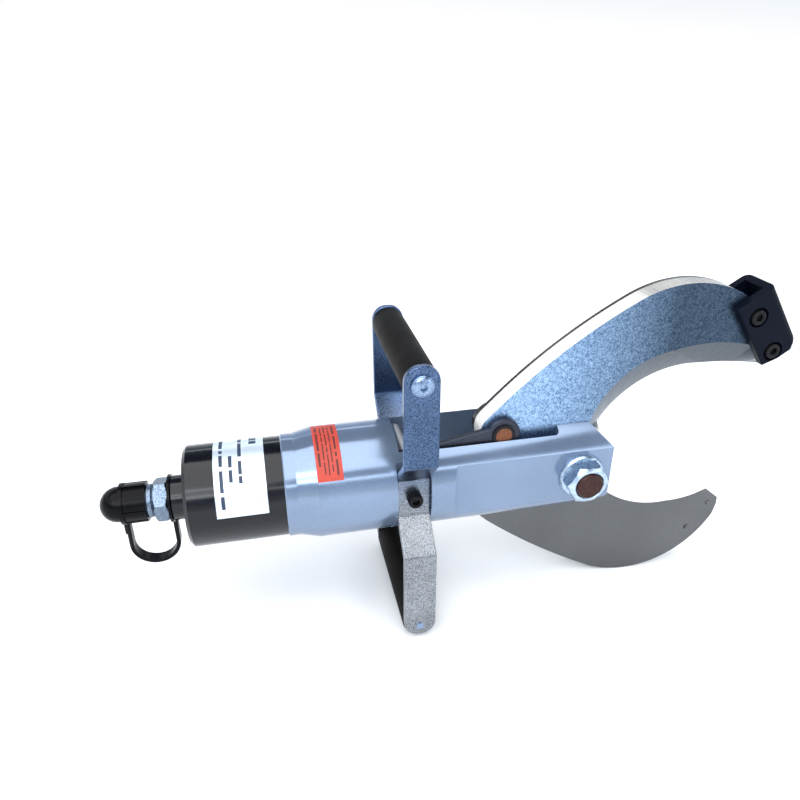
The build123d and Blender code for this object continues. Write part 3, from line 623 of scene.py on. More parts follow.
@dataclass(frozen=True)
class SoftFinish:
    """Rubber or moulded plastic, with a fine pebbled skin.

    Attributes:
        name: Material name.
        colour: Base colour.
        wear_and_shade: Colour of rubbed high spots.
        roughness: Lowest and highest roughness.
        grain: Pebble frequency per metre.
        relief: Depth of the pebbles in metres.
        gloss: Specular level.
    """

    name: str
    colour: Colour
    wear_and_shade: Colour
    roughness: tuple[float, float] = (0.45, 0.62)
    grain: float = 1600.0
    relief: float = 0.00004
    gloss: float = 0.25

    def make(self, turn: float = 0.0) -> bpy.types.Material:
        """Build the material.

        Args:
            turn: Tool tilt in radians, which the skin doesn't need.

        Returns:
            The material.
        """
        shader = Shader(self.name)
        fine = shader.noise(shader.coords(), self.grain, 3.0, 0.6)
        broad = shader.noise(shader.coords(), 45.0, 4.0, 0.6)
        rubbed = shader.level(broad, 0.52, 0.72, 0.0, 0.6)
        shader.set(shader.body.inputs["Base Color"], shader.mix(rubbed, self.colour, self.wear_and_shade))
        shader.set(shader.body.inputs["Roughness"], shader.level(broad, 0.3, 0.7, *self.roughness))
        shader.body.inputs["Specular IOR Level"].default_value = self.gloss
        shader.set(shader.body.inputs["Normal"], shader.bump(fine, 0.5, self.relief))
        return shader.material


@dataclass(frozen=True)
class FilmFinish:
    """Printed label film or ink.

    Attributes:
        name: Material name.
        colour: Film colour.
        metallic: Metal share, for a silvered film.
        roughness: Roughness of the film.
    """

    name: str
    colour: Colour
    metallic: float = 0.0
    roughness: float = 0.35

    def make(self, turn: float = 0.0) -> bpy.types.Material:
        """Build the material, with slight handling marks.

        Args:
            turn: Tool tilt in radians, which the film doesn't need.

        Returns:
            The material.
        """
        shader = Shader(self.name)
        broad = shader.noise(shader.coords(), 120.0, 4.0, 0.6)
        faded = tuple(0.86 * c for c in self.colour)
        handled = shader.level(broad, 0.4, 0.75, 0.0, 1.0)
        shader.set(shader.body.inputs["Base Color"], shader.mix(handled, self.colour, faded))
        shader.body.inputs["Metallic"].default_value = self.metallic
        rough = shader.level(broad, 0.3, 0.7, self.roughness, self.roughness + 0.12)
        shader.set(shader.body.inputs["Roughness"], rough)
        shader.set(shader.body.inputs["Normal"], shader.bump(broad, 0.2, 0.00003))
        return shader.material


BARREL_BLACK = TurnedFinish("barrel_black", (0.002, 0.002, 0.004), (0.005, 0.006, 0.010), (0.10, 0.17),
                            grain=500.0, relief=0.000004, metallic=0.0, bands=900.0, gloss=0.36)
BODY_ANODISED = TurnedFinish("body_anodised", (0.19, 0.255, 0.37), (0.24, 0.315, 0.44), (0.10, 0.16),
                             grain=1400.0, relief=0.000002, metallic=0.6, stains=0.1, bands=2200.0)
# Painted shade: the forged blade's far border and far-facing bevel are painted near-black.
BLADE_FORGED = BladeFinish("blade_forged", (0.09, 0.17, 0.32), (0.46, 0.68, 0.97), (0.92, 0.90, 0.84),
                           (0.04, 0.075, 0.125), tip_shade=0.17, far_side_shade=(0.012, 0.011, 0.01))
BLADE_GROUND = BladeFinish("blade_ground", (0.125, 0.13, 0.135), (0.16, 0.165, 0.17), (0.3, 0.3, 0.29),
                           (0.13, 0.13, 0.13), speckle=0.04, roughness=(0.36, 0.42))
BRACKET_BLACK = MetalFinish("bracket_black", (0.004, 0.005, 0.010), (0.003, 0.005, 0.014), (0.3, 0.42),
                            grain=1500.0, relief=0.00001, metallic=0.0, gloss=0.05)
SCREW_BLACK = MetalFinish("screw_black", (0.003, 0.003, 0.004), (0.008, 0.008, 0.010), (0.12, 0.22),
                          grain=2000.0, relief=0.00001, metallic=0.0, gloss=0.12)
# Painted light and shade: the plates' height tints make their lower parts lighter and their upper parts
# darker and bluer.
PLATE_STEEL = MetalFinish("plate_steel", (0.10, 0.12, 0.15), (0.50, 0.55, 0.62), (0.18, 0.34),
                          grain=1500.0, relief=0.00008, stains=0.35,
                          painted_height_tints=((1.0, 0.96, 0.90), (0.32, 0.46, 0.72)))
CORE_STEEL = TurnedFinish("core_steel", (0.3, 0.3, 0.31), (0.42, 0.42, 0.43), (0.22, 0.34), relief=0.00001)
ZINC_BRIGHT = MetalFinish("zinc_bright", (0.36, 0.48, 0.62), (0.58, 0.70, 0.82), (0.22, 0.34),
                          grain=260.0, relief=0.00001, stains=0.12)
ZINC_PLATE = MetalFinish("zinc_plate", (0.18, 0.26, 0.40), (0.34, 0.46, 0.66), (0.2, 0.32),
                         grain=900.0, relief=0.00002, stains=0.12)
ZINC_COUPLER = MetalFinish("zinc_coupler", (0.07, 0.10, 0.15), (0.28, 0.36, 0.46), (0.2, 0.42),
                           grain=1300.0, relief=0.00015, stains=0.15)
BOLT_DARK = MetalFinish("bolt_dark", (0.028, 0.012, 0.011), (0.07, 0.032, 0.028), (0.3, 0.45),
                        grain=900.0, relief=0.00003, metallic=0.6, gloss=0.3)
LINK_DARK = MetalFinish("link_dark", (0.03, 0.035, 0.05), (0.07, 0.08, 0.11), (0.32, 0.5),
                        grain=1100.0, relief=0.00005, metallic=0.85, stains=0.3)
CLIP_BLACK = MetalFinish("clip_black", (0.004, 0.004, 0.006), (0.012, 0.012, 0.015), (0.3, 0.42),
                         grain=1500.0, relief=0.00001, metallic=0.4, gloss=0.3)
PIN_BROWN = MetalFinish("pin_brown", (0.13, 0.045, 0.022), (0.26, 0.10, 0.05), (0.3, 0.45),
                        grain=800.0, relief=0.00002, metallic=0.7)
BRONZE = TurnedFinish("bronze", (0.45, 0.29, 0.11), (0.6, 0.4, 0.17), (0.25, 0.38), relief=0.00001)
SPRING_STEEL = MetalFinish("spring_steel", (0.16, 0.16, 0.17), (0.3, 0.3, 0.31), (0.25, 0.38))
SEAL_RUBBER = SoftFinish("seal_rubber", (0.012, 0.012, 0.013), (0.03, 0.03, 0.03))
GRIP_RUBBER = SoftFinish("grip_rubber", (0.003, 0.0024, 0.002), (0.009, 0.007, 0.0055), (0.5, 0.62),
                         grain=1300.0, relief=0.00005, gloss=0.08)
CAP_PLASTIC = SoftFinish("cap_plastic", (0.002, 0.002, 0.003), (0.005, 0.005, 0.008), (0.22, 0.32),
                         grain=900.0, relief=0.00001, gloss=0.1)
LABEL_SILVER = FilmFinish("label_silver", (0.70, 0.80, 0.90), metallic=0.55, roughness=0.28)
LABEL_RED = FilmFinish("label_red", (0.50, 0.045, 0.025), roughness=0.45)
INK_BLACK = FilmFinish("ink_black", (0.015, 0.03, 0.07), roughness=0.45)
INK_DARK_RED = FilmFinish("ink_dark_red", (0.10, 0.012, 0.008), roughness=0.5)

NODE_FINISHES = {
    BARREL_BLACK: ("barrel",),
    BODY_ANODISED: ("main_body",),
    BLADE_FORGED: ("upper_blade",),
    BLADE_GROUND: ("lower_blade",),
    BRACKET_BLACK: ("guide_bracket",),
    SCREW_BLACK: ("bracket_screws", "handle_mount_screws"),
    PLATE_STEEL: ("near_handle_plate", "far_handle_plate"),
    GRIP_RUBBER: ("upper_grip_sleeve", "lower_grip_sleeve"),
    CORE_STEEL: ("upper_grip_core", "lower_grip_core", "crosshead", "piston_rod", "piston", "spring_seat"),
    ZINC_BRIGHT: ("pivot_nut", "pivot_washer", ),
    ZINC_PLATE: ("grip_bolts", "grip_rivets"),
    ZINC_COUPLER: ("coupler", "coupler_poppet"),
    BOLT_DARK: ("pivot_bolt",),
    LINK_DARK: ("upper_link", "lower_link"),
    CLIP_BLACK: ("upper_link_clip", "lower_link_clip", "crosshead_clips"),
    PIN_BROWN: ("upper_link_pin", "lower_link_pin", "crosshead_pins"),
    BRONZE: ("upper_blade_bush", "lower_blade_bush", "gland_bush", "piston_guide_ring"),
    SPRING_STEEL: ("return_spring", "poppet_spring"),
    SEAL_RUBBER: ("piston_seal", "barrel_o_ring", "rod_wiper"),
    CAP_PLASTIC: ("dust_cap", "cap_strap"),
    LABEL_SILVER: ("rating_label",),
    LABEL_RED: ("warning_label",),
}


@dataclass
class Palette:
    """Every finish, made once."""

    tilt: float
    made: dict[str, bpy.types.Material] = field(default_factory=dict)

    def get(self, finish: object) -> bpy.types.Material:
        """Return a finish's material, building it at first use.

        Args:
            finish: The finish.

        Returns:
            Its material.
        """
        if finish.name not in self.made:
            self.made[finish.name] = finish.make(self.tilt)
        return self.made[finish.name]

    def dress_nodes(self, nodes: dict) -> None:
        """Give every CAD node its finish.

        Args:
            nodes: CAD objects by node name.
        """
        for finish, names in NODE_FINISHES.items():
            for name in names:
                for slot in nodes[name].material_slots:
                    slot.material = self.get(finish)
                LOG.info("dressed %s", name)


# ---------------------------------------------------------------- modelling
@dataclass(frozen=True)
class Ring:
    """One cross-section of a stacked piece.

    Attributes:
        height: Place along the stack, in millimetres.
        radius: Round limit of the section.
        flats: Width across flats of a hexagon that cuts the round, or 0.
        ridges: Depth of the knurl cut into the round.
    """

    height: float
    radius: float
    flats: float = 0.0
    ridges: float = 0.0

    def reach(self, index: int, count: int) -> float:
        """Radius at one of the section's points.

        Args:
            index: Number of the point.
            count: Points in the section.

        Returns:
            Radius in millimetres.
        """
        radius = self.radius - (self.ridges if index % 2 else 0.0)
        if self.flats:
            sixth = math.pi / 3
            angle = (2 * math.pi * index / count) % sixth - sixth / 2
            radius = min(radius, self.flats / 2 / math.cos(angle))
        return radius


def stand(bm: bmesh.types.BMesh, name: str, materials: list[bpy.types.Material], crease: float = 32.0
          ) -> bpy.types.Object:
    """Make a finished mesh an object of the scene, smooth but for its sharp edges.

    Args:
        bm: The mesh, which is used up.
        name: Name of the piece.
        materials: Materials in the order of their numbers.
        crease: Angle in degrees from which an edge is sharp.

    Returns:
        The piece's object.
    """
    mesh = bpy.data.meshes.new(name)
    bm.to_mesh(mesh)
    bm.free()
    for material in materials:
        mesh.materials.append(material)
    mesh.polygons.foreach_set("use_smooth", [True] * len(mesh.polygons))
    mesh.set_sharp_from_angle(angle=math.radians(crease))
    piece = bpy.data.objects.new(name, mesh)
    bpy.context.scene.collection.objects.link(piece)
    return piece


class Sculpt:
    """A piece under construction, in tool millimetres."""

    def __init__(self, name: str, palette: Palette, *finishes: object) -> None:
        """Start an empty piece.

        Args:
            name: Name of the piece.
            palette: Source of its materials.
            *finishes: Its finishes, in the order of their material numbers.
        """
        self.name = name
        self.bm = bmesh.new()
        self.materials = [palette.get(finish) for finish in finishes]

    def stack(self, place: Vector, along: Vector, rings: list[Ring], count: int = 96) -> None:
        """Extrude a disc from one cross-section to the next into a closed solid.

        Args:
            place: Foot of the stack.
            along: Direction of the stack.
            rings: Cross-sections from foot to top.
            count: Points in each section.
        """
        along = along.normalized()
        across = Vector((1.0, 0.0, 0.0))
        if abs(along.dot(across)) > 0.9:
            across = along.orthogonal().normalized()
        other = along.cross(across)
        disc = bmesh.ops.create_circle(self.bm, cap_ends=True, cap_tris=False, segments=count, radius=1.0)
        face = disc["verts"][0].link_faces[0]
        for ring in rings:
            if ring is not rings[0]:
                face = bmesh.ops.extrude_discrete_faces(self.bm, faces=[face])["faces"][0]
            for index, vert in enumerate(face.verts):
                angle = 2 * math.pi * index / count
                outward = math.cos(angle) * across + math.sin(angle) * other
                vert.co = place + ring.height * along + ring.reach(index, count) * outward
        foot = [edge for edge in self.bm.edges if edge.is_boundary]
        bmesh.ops.holes_fill(self.bm, edges=foot, sides=0)

    def film(self, x_range: tuple[float, float], angles: tuple[float, float], radius: float, thickness: float,
             material: int = 0) -> None:
        """Wrap a thin rectangle round the tool's axis.

        Args:
            x_range: Its ends along the tool.
            angles: Its ends round the tool, in degrees above the near side's direction.
            radius: Radius of its underside.
            thickness: Its thickness.
            material: Material number.
        """
        degrees_per_face = 2.5
        steps = max(2, int((angles[1] - angles[0]) / degrees_per_face))
        under = bmesh.ops.create_grid(self.bm, x_segments=1, y_segments=steps, size=0.5)["verts"]
        for vert in under:
            x = x_range[0] + (vert.co.x + 0.5) * (x_range[1] - x_range[0])
            angle = math.radians(angles[0] + (vert.co.y + 0.5) * (angles[1] - angles[0]))
            vert.co = Vector((x, -radius * math.cos(angle), radius * math.sin(angle)))
        faces = list({face for vert in under for face in vert.link_faces})
        raised = bmesh.ops.extrude_face_region(self.bm, geom=faces)["geom"]
        for vert in (item for item in raised if isinstance(item, bmesh.types.BMVert)):
            vert.co += thickness * Vector((0.0, vert.co.y, vert.co.z)).normalized()
            for face in vert.link_faces:
                face.material_index = material
        for face in faces:
            face.material_index = material

    def finish(self, tool: Tool, body: str, *nodes: str) -> None:
        """Put the piece in the row frame and let it ride.

        Args:
            tool: The tool frame.
            body: CAD body it moves with.
            *nodes: CAD nodes it stands for.
        """
        bmesh.ops.remove_doubles(self.bm, verts=self.bm.verts, dist=0.0005)
        bmesh.ops.recalc_face_normals(self.bm, faces=self.bm.faces)
        self.bm.transform(tool.matrix)
        piece = stand(self.bm, self.name, self.materials)
        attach(piece, body)
        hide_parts(*nodes)
        LOG.info("built %s: %d faces", self.name, len(piece.data.polygons))


@dataclass
class SocketScrews:
    """The guide bracket's and the handle plates' knurled socket cap screws."""

    tool: Tool
    palette: Palette
    bracket_head: float = 6.2
    bracket_head_height: float = 5.0
    mount_head: float = 5.6
    mount_head_height: float = 8.0
    mount_length: float = 9.0
    shank: float = 4.0
    knurl: float = 0.22

    def build(self) -> None:
        """Build both pairs of screws."""
        bracket = self.tool.span("bracket_screws")
        sculpt = Sculpt("bracket_screw_pair", self.palette, SCREW_BLACK)
        for place in self.pair("bracket_screws"):
            seat = Vector((place.x, bracket.low.y + self.bracket_head_height, place.z))
            self.screw(sculpt, seat, Side.NEAR, self.bracket_head, self.bracket_head_height,
                       bracket.size.y - self.bracket_head_height)
        sculpt.finish(self.tool, "upper_jaw", "bracket_screws")
        mount = self.tool.span("handle_mount_screws")
        sculpt = Sculpt("mount_screw_pair", self.palette, SCREW_BLACK)
        for side in Side:
            depth = mount.high.y - self.mount_head_height
            seat = Vector((mount.middle.x, side.value * depth, mount.middle.z))
            self.screw(sculpt, seat, side, self.mount_head, self.mount_head_height, self.mount_length)
        sculpt.finish(self.tool, "root", "handle_mount_screws")

    def screw(self, sculpt: Sculpt, seat: Vector, facing: Side, head: float, height: float,
              length: float) -> None:
        """Add one screw.

        Args:
            sculpt: Piece that it joins.
            seat: Middle of the head's underside.
            facing: Side that the head faces.
            head: Head radius.
            height: Head height.
            length: Shank length.
        """
        socket = 0.52 * head
        flats = 1.8 * socket
        shank = [Ring(-length, self.shank - 0.6), Ring(0.6 - length, self.shank), Ring(0.0, self.shank)]
        side = [Ring(0.0, head - 0.1), Ring(0.2, head, ridges=self.knurl),
                Ring(height - 0.9, head, ridges=self.knurl)]
        crown = [Ring(height - 0.45, head - 0.25), Ring(height - 0.1, head - 0.7), Ring(height, head - 1.1)]
        hollow = [Ring(height, 1.2 * socket), Ring(height - 0.35, 2 * socket, flats),
                  Ring(0.5 * height, 2 * socket, flats), Ring(0.4 * height, 0.3 * socket)]
        sculpt.stack(seat, Vector((0.0, float(facing.value), 0.0)), shank + side + crown + hollow)

    def pair(self, node: str) -> list[Vector]:
        """Middles of a node's two separate solids, parted by their height.

        Args:
            node: Name of the node.

        Returns:
            The two middles in tool millimetres.
        """
        inverse = self.tool.matrix.inverted()
        points = [inverse @ vertex.co for vertex in self.tool.frame["nodes"][node].data.vertices]
        middle = self.tool.span(node).middle.z
        upper = [point for point in points if point.z > middle]
        lower = [point for point in points if point.z <= middle]
        return [Span.around(group).middle for group in (upper, lower)]


@dataclass
class GripScrews:
    """The upper grip's low button screws."""

    tool: Tool
    palette: Palette
    head: float = 8.0
    head_height: float = 3.8
    shank: float = 4.0
    length: float = 15.0
    socket: float = 3.1
    socket_flats: float = 4.8

    def build(self) -> None:
        """Build the pair of screws."""
        span = self.tool.span("grip_bolts")
        shank = [Ring(-self.length, self.shank - 0.4), Ring(0.4 - self.length, self.shank),
                 Ring(0.0, self.shank)]
        flange = [Ring(0.0, self.head - 0.1), Ring(0.6, self.head), Ring(1.6, self.head - 0.1),
                  Ring(2.1, self.head - 0.5)]
        button = [Ring(2.0, 7.1), Ring(2.7, 6.6), Ring(3.3, 5.4), Ring(3.7, 3.8), Ring(self.head_height, 3.4)]
        hollow = [Ring(3.4, self.socket, self.socket_flats), Ring(1.2, self.socket, self.socket_flats),
                  Ring(1.0, 0.6)]
        sculpt = Sculpt("grip_screw_pair", self.palette, ZINC_PLATE)
        for side in Side:
            seat = Vector((span.middle.x, side.value * (span.high.y - self.head_height), span.middle.z))
            sculpt.stack(seat, Vector((0.0, float(side.value), 0.0)), shank + flange + button + hollow)
        sculpt.finish(self.tool, "root", "grip_bolts")


@dataclass
class PivotNut:
    """The flanged pivot nut, its corners turned off down to a round face."""

    tool: Tool
    palette: Palette
    flats: float = 30.0
    face: float = 13.4
    bore: float = 10.65
    flange: float = 18.5
    flange_height: float = 3.4
    corner_drops: tuple[float, ...] = (4.4, 3.6, 2.8, 2.0, 1.3, 0.7, 0.3)
    corner_slope: float = 1.35

    def build(self) -> None:
        """Build the nut."""
        span = self.tool.span("pivot_nut")
        height = span.size.y
        flange = [Ring(0.0, self.bore), Ring(0.0, self.flange - 0.3), Ring(0.3, self.flange),
                  Ring(1.7, self.flange), Ring(2.1, self.flange - 0.2),
                  Ring(self.flange_height, self.flange - 1.1),
                  Ring(self.flange_height + 0.3, self.flange - 1.2, self.flats)]
        corners = [Ring(height - drop, self.face + self.corner_slope * drop, self.flats)
                   for drop in self.corner_drops]
        face = [Ring(height, self.face), Ring(height, self.bore + 1.0), Ring(height - 0.9, self.bore)]
        sculpt = Sculpt("flanged_pivot_nut", self.palette, ZINC_BRIGHT)
        sculpt.stack(Vector((0.0, span.high.y, 0.0)), Vector((0.0, -1.0, 0.0)), flange + corners + face)
        sculpt.finish(self.tool, "root", "pivot_nut")


@dataclass
class HoseCoupler:
    """The hose coupler: chamfered hexagon, neck and threaded nipple."""

    tool: Tool
    palette: Palette
    hex_front: float = 2.0
    hex_rear: float = 12.8
    hex_flats: float = 29.0
    hex_corner: float = 13.9
    chamfer_slope: float = 1.6
    chamfer_steps: tuple[float, ...] = (0.0, 0.5, 1.0, 1.6, 2.2)
    spigot: float = 9.7
    neck: float = 12.7
    neck_rear: float = 17.6
    thread_crest: float = 11.7
    thread_root: float = 10.9
    thread_half_pitch: float = 0.75
    bore: float = 4.3

    def build(self) -> None:
        """Build the coupler."""
        span = self.tool.span("coupler")
        rings = self.hexagon() + self.neck_rings() + self.nipple(span.size.x)
        sculpt = Sculpt("threaded_coupler", self.palette, ZINC_COUPLER)
        sculpt.stack(Vector((span.high.x, 0.0, 0.0)), Vector((-1.0, 0.0, 0.0)), rings)
        sculpt.finish(self.tool, "root", "coupler")

    def hexagon(self) -> list[Ring]:
        """Sections of the spigot and of the hexagon.

        Returns:
            The sections, from the front.
        """
        front = [Ring(self.hex_front + step, self.hex_corner + self.chamfer_slope * step, self.hex_flats)
                 for step in self.chamfer_steps]
        rear = [Ring(self.hex_rear - step, self.hex_corner + self.chamfer_slope * step, self.hex_flats)
                for step in reversed(self.chamfer_steps)]
        spigot = [Ring(0.0, 2.6), Ring(0.0, self.spigot), Ring(self.hex_front, self.spigot),
                  Ring(self.hex_front, self.hex_corner - 0.5)]
        return spigot + front + rear

    def neck_rings(self) -> list[Ring]:
        """Sections of the neck behind the hexagon.

        Returns:
            The sections, from the front.
        """
        return [Ring(self.hex_rear, self.neck - 0.3), Ring(self.hex_rear + 0.8, self.neck - 0.8),
                Ring(self.hex_rear + 1.6, self.neck - 0.2), Ring(self.neck_rear - 0.6, self.neck),
                Ring(self.neck_rear, self.neck - 0.5), Ring(self.neck_rear + 0.2, self.thread_crest - 0.1)]

    def nipple(self, rear: float) -> list[Ring]:
        """Sections of the threaded nipple and of its mouth.

        Args:
            rear: The coupler's rear end.

        Returns:
            The sections, from the front.
        """
        start = self.neck_rear + 0.8
        turns = math.ceil((rear - 1.6 - start) / self.thread_half_pitch)
        radii = (self.thread_crest, self.thread_root)
        thread = [Ring(start + turn * self.thread_half_pitch, radii[turn % 2]) for turn in range(turns)]
        mouth = [Ring(rear - 0.8, self.thread_root - 0.1), Ring(rear, self.thread_root - 0.7),
                 Ring(rear, self.bore + 0.3), Ring(rear - 0.4, self.bore), Ring(rear - 4.0, self.bore)]
        return thread + mouth


@dataclass
class RubberGrips:
    """The two grip sleeves, with rolled ends and a slight crown."""

    tool: Tool
    palette: Palette
    bore: float = 8.0
    roll: tuple[tuple[float, float], ...] = ((0.0, 1.3), (0.25, 0.6), (0.8, 0.2), (1.8, 0.05))

    def build(self) -> None:
        """Build both sleeves."""
        for name in ("upper", "lower"):
            span = self.tool.span(f"{name}_grip_sleeve")
            length, radius = span.size.y, span.size.x / 2
            near = [Ring(place, radius - drop) for place, drop in self.roll]
            far = [Ring(length - place, radius - drop) for place, drop in reversed(self.roll)]
            crown = [Ring(share * length, radius) for share in (0.25, 0.5, 0.75)]
            rings = [Ring(0.0, self.bore), *near, *crown, *far, Ring(length, self.bore)]
            sculpt = Sculpt(f"{name}_rubber_grip", self.palette, GRIP_RUBBER)
            foot = Vector((span.middle.x, span.low.y, span.middle.z))
            sculpt.stack(foot, Vector((0.0, 1.0, 0.0)), rings)
            sculpt.finish(self.tool, "root", f"{name}_grip_sleeve")


@dataclass
class FlexiblePieces:
    """Two springs and the cap's strap, as merged copies of their CAD meshes."""

    tool: Tool
    palette: Palette
    ram_travel: float = 61.0
    poppet_travel: float = 3.0
    strap_ring: float = 4.0
    strap_height: float = -16.0

    def build(self) -> None:
        """Build both springs and the strap."""
        self.spring("return_spring", "return_spring_coil", self.ram_travel)
        self.spring("poppet_spring", "poppet_spring_coil", self.poppet_travel)
        self.strap()

    def copy(self, node: str, name: str, finish: object) -> bpy.types.Object:
        """Copy a node's mesh as a merged piece.

        Args:
            node: Name of the node.
            name: Name of the piece.
            finish: Finish of the piece.

        Returns:
            The piece's object.
        """
        bm = bmesh.new()
        bm.from_mesh(self.tool.frame["nodes"][node].data)
        bmesh.ops.remove_doubles(bm, verts=bm.verts, dist=0.000002)
        bmesh.ops.recalc_face_normals(bm, faces=bm.faces)
        for face in bm.faces:
            face.material_index = 0
        piece = stand(bm, name, [self.palette.get(finish)], crease=35.0)
        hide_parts(node)
        return piece

    def spring(self, node: str, name: str, travel: float) -> None:
        """Build a coil spring as a merged copy of its CAD mesh, riding on the root body.

        Args:
            node: CAD node of the spring.
            name: Name of the piece.
            travel: How far the joint's travel would close it, in millimetres; only logged.
        """
        piece = self.copy(node, name, SPRING_STEEL)
        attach(piece, "root")
        span = self.tool.span(node)
        along = self.tool.put(1.0, 0.0, 0.0) - self.tool.put(0.0, 0.0, 0.0)
        front = self.tool.put(span.high.x, 0.0, 0.0)
        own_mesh(piece)
        LOG.info("built %s, closing by %.0f mm", name, travel)

    def strap(self) -> None:
        """Build the strap as a merged copy of its CAD mesh."""
        strap = self.copy("cap_strap", "moulded_cap_strap", CAP_PLASTIC)
        span = self.tool.span("cap_strap")
        fixed = self.tool.put(span.high.x - self.strap_ring, 0.0, self.strap_height)
        loose = self.tool.put(span.low.x + self.strap_ring, 0.0, self.strap_height)
        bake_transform(strap)
        LOG.info("built the cap's strap, bending between the coupler and the cap")


@dataclass(frozen=True)
class PrintedLine:
    """One line of a label, as plain bars in place of words.

    Attributes:
        place: Middle of the line along the tool.
        height: Height of the line.
        words: Ends of its bars round the tool, in degrees.
    """

    place: float
    height: float
    words: tuple[tuple[float, float], ...]


@dataclass(frozen=True)
class Sticker:
    """One wrapped label.

    Attributes:
        name: Name of the piece.
        node: CAD node that it stands for.
        angles: Ends of the film round the tool, in degrees.
        radius: Radius of what it is stuck on.
        lines: Printed lines.
        base: Finish of the film.
        ink: Finish of the print.
    """

    name: str
    node: str
    angles: tuple[float, float]
    radius: float
    lines: tuple[PrintedLine, ...]
    base: FilmFinish
    ink: FilmFinish


SILVER_STICKER = Sticker("rating_plate_film", "rating_label", (4.0, 150.0), 38.36, (
    PrintedLine(-250.4, 5.2, ((92.0, 99.0), (101.5, 108.5), (111.0, 118.0), (121.0, 135.0))),
    PrintedLine(-260.0, 2.6, ((40.0, 48.0), (50.0, 66.0), (72.0, 96.0), (99.0, 110.0), (113.0, 134.0))),
    PrintedLine(-266.8, 2.6, ((42.0, 56.0), (59.0, 74.0))),
    PrintedLine(-273.6, 2.6, ((14.0, 28.0), (32.0, 56.0), (61.0, 76.0), (79.0, 84.0), (88.0, 112.0))),
), LABEL_SILVER, INK_BLACK)
RED_STICKER = Sticker("warning_film", "warning_label", (31.0, 107.0), 43.11, (
    PrintedLine(-203.2, 1.7, ((46.0, 60.0), (63.0, 86.0), (89.0, 100.0))),
    PrintedLine(-199.7, 1.0, ((38.0, 50.0), (52.0, 71.0), (73.0, 80.0), (82.0, 98.0))),
    PrintedLine(-196.8, 1.0, ((37.0, 58.0), (60.0, 66.0), (68.0, 84.0), (86.0, 101.0))),
    PrintedLine(-193.9, 1.0, ((40.0, 47.0), (49.0, 70.0), (72.0, 90.0), (92.0, 100.0))),
    PrintedLine(-190.6, 1.5, ((36.0, 52.0), (55.0, 60.0), (63.0, 80.0), (83.0, 101.0))),
), LABEL_RED, INK_DARK_RED)


@dataclass
class Labels:
    """The two wrapped labels."""

    tool: Tool
    palette: Palette
    film_thickness: float = 0.16
    ink_lift: float = 0.17
    ink_thickness: float = 0.05

    def build(self) -> None:
        """Build both labels."""
        for sticker in (SILVER_STICKER, RED_STICKER):
            span = self.tool.span(sticker.node)
            sculpt = Sculpt(sticker.name, self.palette, sticker.base, sticker.ink)
            sculpt.film((span.low.x, span.high.x), sticker.angles, sticker.radius, self.film_thickness)
            for line in sticker.lines:
                ends = (line.place - line.height / 2, line.place + line.height / 2)
                for word in line.words:
                    sculpt.film(ends, word, sticker.radius + self.ink_lift, self.ink_thickness, material=1)
            sculpt.finish(self.tool, "root", sticker.node)


# ---------------------------------------------------------------- stage
@dataclass(frozen=True)
class Lamp:
    """One soft area light.

    Attributes:
        name: Name of the light.
        offset: Where it hangs, from the middle of the tool, in metres.
        size: Width and height in metres.
        power: Power in watts.
        colour: Light colour.
    """

    name: str
    offset: tuple[float, float, float]
    size: tuple[float, float]
    power: float
    colour: Colour


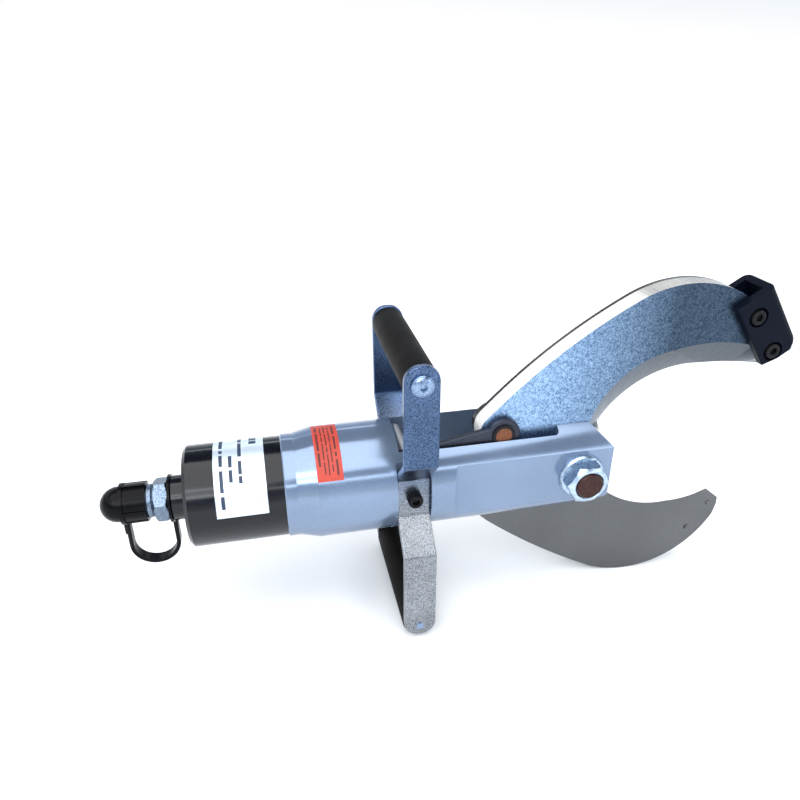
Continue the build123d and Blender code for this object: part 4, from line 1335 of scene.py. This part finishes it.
@dataclass
class Studio:
    """Camera, floor and lights."""

    tool: Tool
    camera_place: tuple[float, float, float] = (-231.6, -453.2, 302.0)
    azimuth: float = -11.72
    elevation: float = 27.29
    roll: float = 0.39
    lens: float = 30.93
    floor_size: float = 60.0
    floor_colour: Colour = (0.95, 0.95, 0.95)
    sun_power: float = 3.2
    sky_stops: tuple[tuple[float, Colour], ...] = (
        (0.06, (1.0, 1.0, 1.0)), (0.2, (0.60, 0.72, 0.90)), (0.40, (0.20, 0.26, 0.35)),
        (0.455, (4.5, 4.6, 4.7)), (0.485, (4.5, 4.6, 4.7)), (0.52, (0.18, 0.22, 0.30)),
        (1.0, (0.07, 0.08, 0.10)),
    )

    lamps: tuple[Lamp, ...] = (
        Lamp("key", (-0.7, -1.0, 0.75), (0.9, 0.5), 6.0, (0.9, 0.95, 1.0)),
        Lamp("fill", (1.0, -0.9, 0.35), (0.8, 0.5), 3.0, (0.8, 0.9, 1.0)),
    )

    def camera(self) -> None:
        """Stand the camera where it looks down on the near side from behind the handles."""
        a, e, r = (math.radians(value) for value in (self.azimuth, self.elevation, self.roll))
        back = Vector((math.sin(a) * math.cos(e), -math.cos(a) * math.cos(e), math.sin(e)))
        right = Vector((math.cos(a), math.sin(a), 0.0))
        up = back.cross(right)
        right, up = math.cos(r) * right - math.sin(r) * up, math.sin(r) * right + math.cos(r) * up
        turn = self.tool.matrix.to_3x3().normalized() @ Matrix((right, up, back)).transposed()
        data = bpy.data.cameras.new("camera")
        data.lens = self.lens
        data.sensor_width = 36.0
        data.clip_start = 0.02
        camera = bpy.data.objects.new("camera", data)
        camera.matrix_world = Matrix.Translation(self.tool.put(*self.camera_place)) @ turn.to_4x4()
        bpy.context.scene.collection.objects.link(camera)
        bpy.context.scene.camera = camera

    def floor(self) -> None:
        """Lay a plain pale floor under the tool."""
        bm = bmesh.new()
        bmesh.ops.create_grid(bm, x_segments=1, y_segments=1, size=self.floor_size / 2)
        mesh = bpy.data.meshes.new("floor")
        bm.to_mesh(mesh)
        bm.free()
        floor = bpy.data.objects.new("floor", mesh)
        bpy.context.scene.collection.objects.link(floor)
        shader = Shader("floor")
        shader.body.inputs["Base Color"].default_value = (*self.floor_colour, 1.0)
        shader.body.inputs["Roughness"].default_value = 0.9
        shader.body.inputs["Specular IOR Level"].default_value = 0.1
        mesh.materials.append(shader.material)

    def light(self, lamp: Lamp, aim: Vector) -> None:
        """Hang one soft area light.

        Args:
            lamp: The lamp.
            aim: The point it faces and hangs from, in metres.
        """
        data = bpy.data.lights.new(lamp.name, "AREA")
        data.shape = "RECTANGLE"
        data.size, data.size_y = lamp.size
        data.energy = lamp.power
        data.color = lamp.colour
        light = bpy.data.objects.new(lamp.name, data)
        light.location = aim + Vector(lamp.offset)
        light.rotation_euler = (-Vector(lamp.offset)).to_track_quat("-Z", "Y").to_euler()
        bpy.context.scene.collection.objects.link(light)

    def sky(self) -> None:
        """Hang a pale horizon under a darker ceiling, for the metal to reflect."""
        world = bpy.data.worlds.new("sky")
        world.use_nodes = True
        tree = world.node_tree
        back = tree.nodes["Background"]
        coords = tree.nodes.new("ShaderNodeTexCoord")
        split = tree.nodes.new("ShaderNodeSeparateXYZ")
        ramp = tree.nodes.new("ShaderNodeValToRGB")
        tree.links.new(coords.outputs["Generated"], split.inputs[0])
        tree.links.new(split.outputs["Z"], ramp.inputs[0])
        tree.links.new(ramp.outputs[0], back.inputs["Color"])
        fill_ramp(ramp, self.sky_stops)
        bpy.context.scene.world = world

    def lights(self) -> None:
        """Set the sky, a broad soft sun and two soft lamps round the tool."""
        self.sky()
        middle = self.tool.put(-60.0, 0.0, 20.0)
        data = bpy.data.lights.new("daylight", "SUN")
        data.energy = self.sun_power
        data.angle = math.radians(70.0)
        sun = bpy.data.objects.new("daylight", data)
        sun.rotation_euler = Vector((0.25, 0.25, -1.0)).to_track_quat("-Z", "Y").to_euler()
        bpy.context.scene.collection.objects.link(sun)
        for lamp in self.lamps:
            self.light(lamp, middle)
        bpy.context.scene.view_settings.view_transform = "Standard"


def main() -> None:
    """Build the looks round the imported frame."""
    logging.basicConfig(level=logging.INFO, format="%(name)s: %(message)s")
    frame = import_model()
    tool = Tool(frame)
    studio = Studio(tool)
    studio.camera()
    studio.floor()
    studio.lights()
    tilt = math.asin(tool.matrix.to_3x3().normalized().col[0].z)
    palette = Palette(tilt)
    palette.dress_nodes(frame["nodes"])
    for assembly in (SocketScrews, GripScrews, PivotNut, HoseCoupler, RubberGrips, FlexiblePieces, Labels):
        assembly(tool, palette).build()


if __name__ == "__main__":
    main()
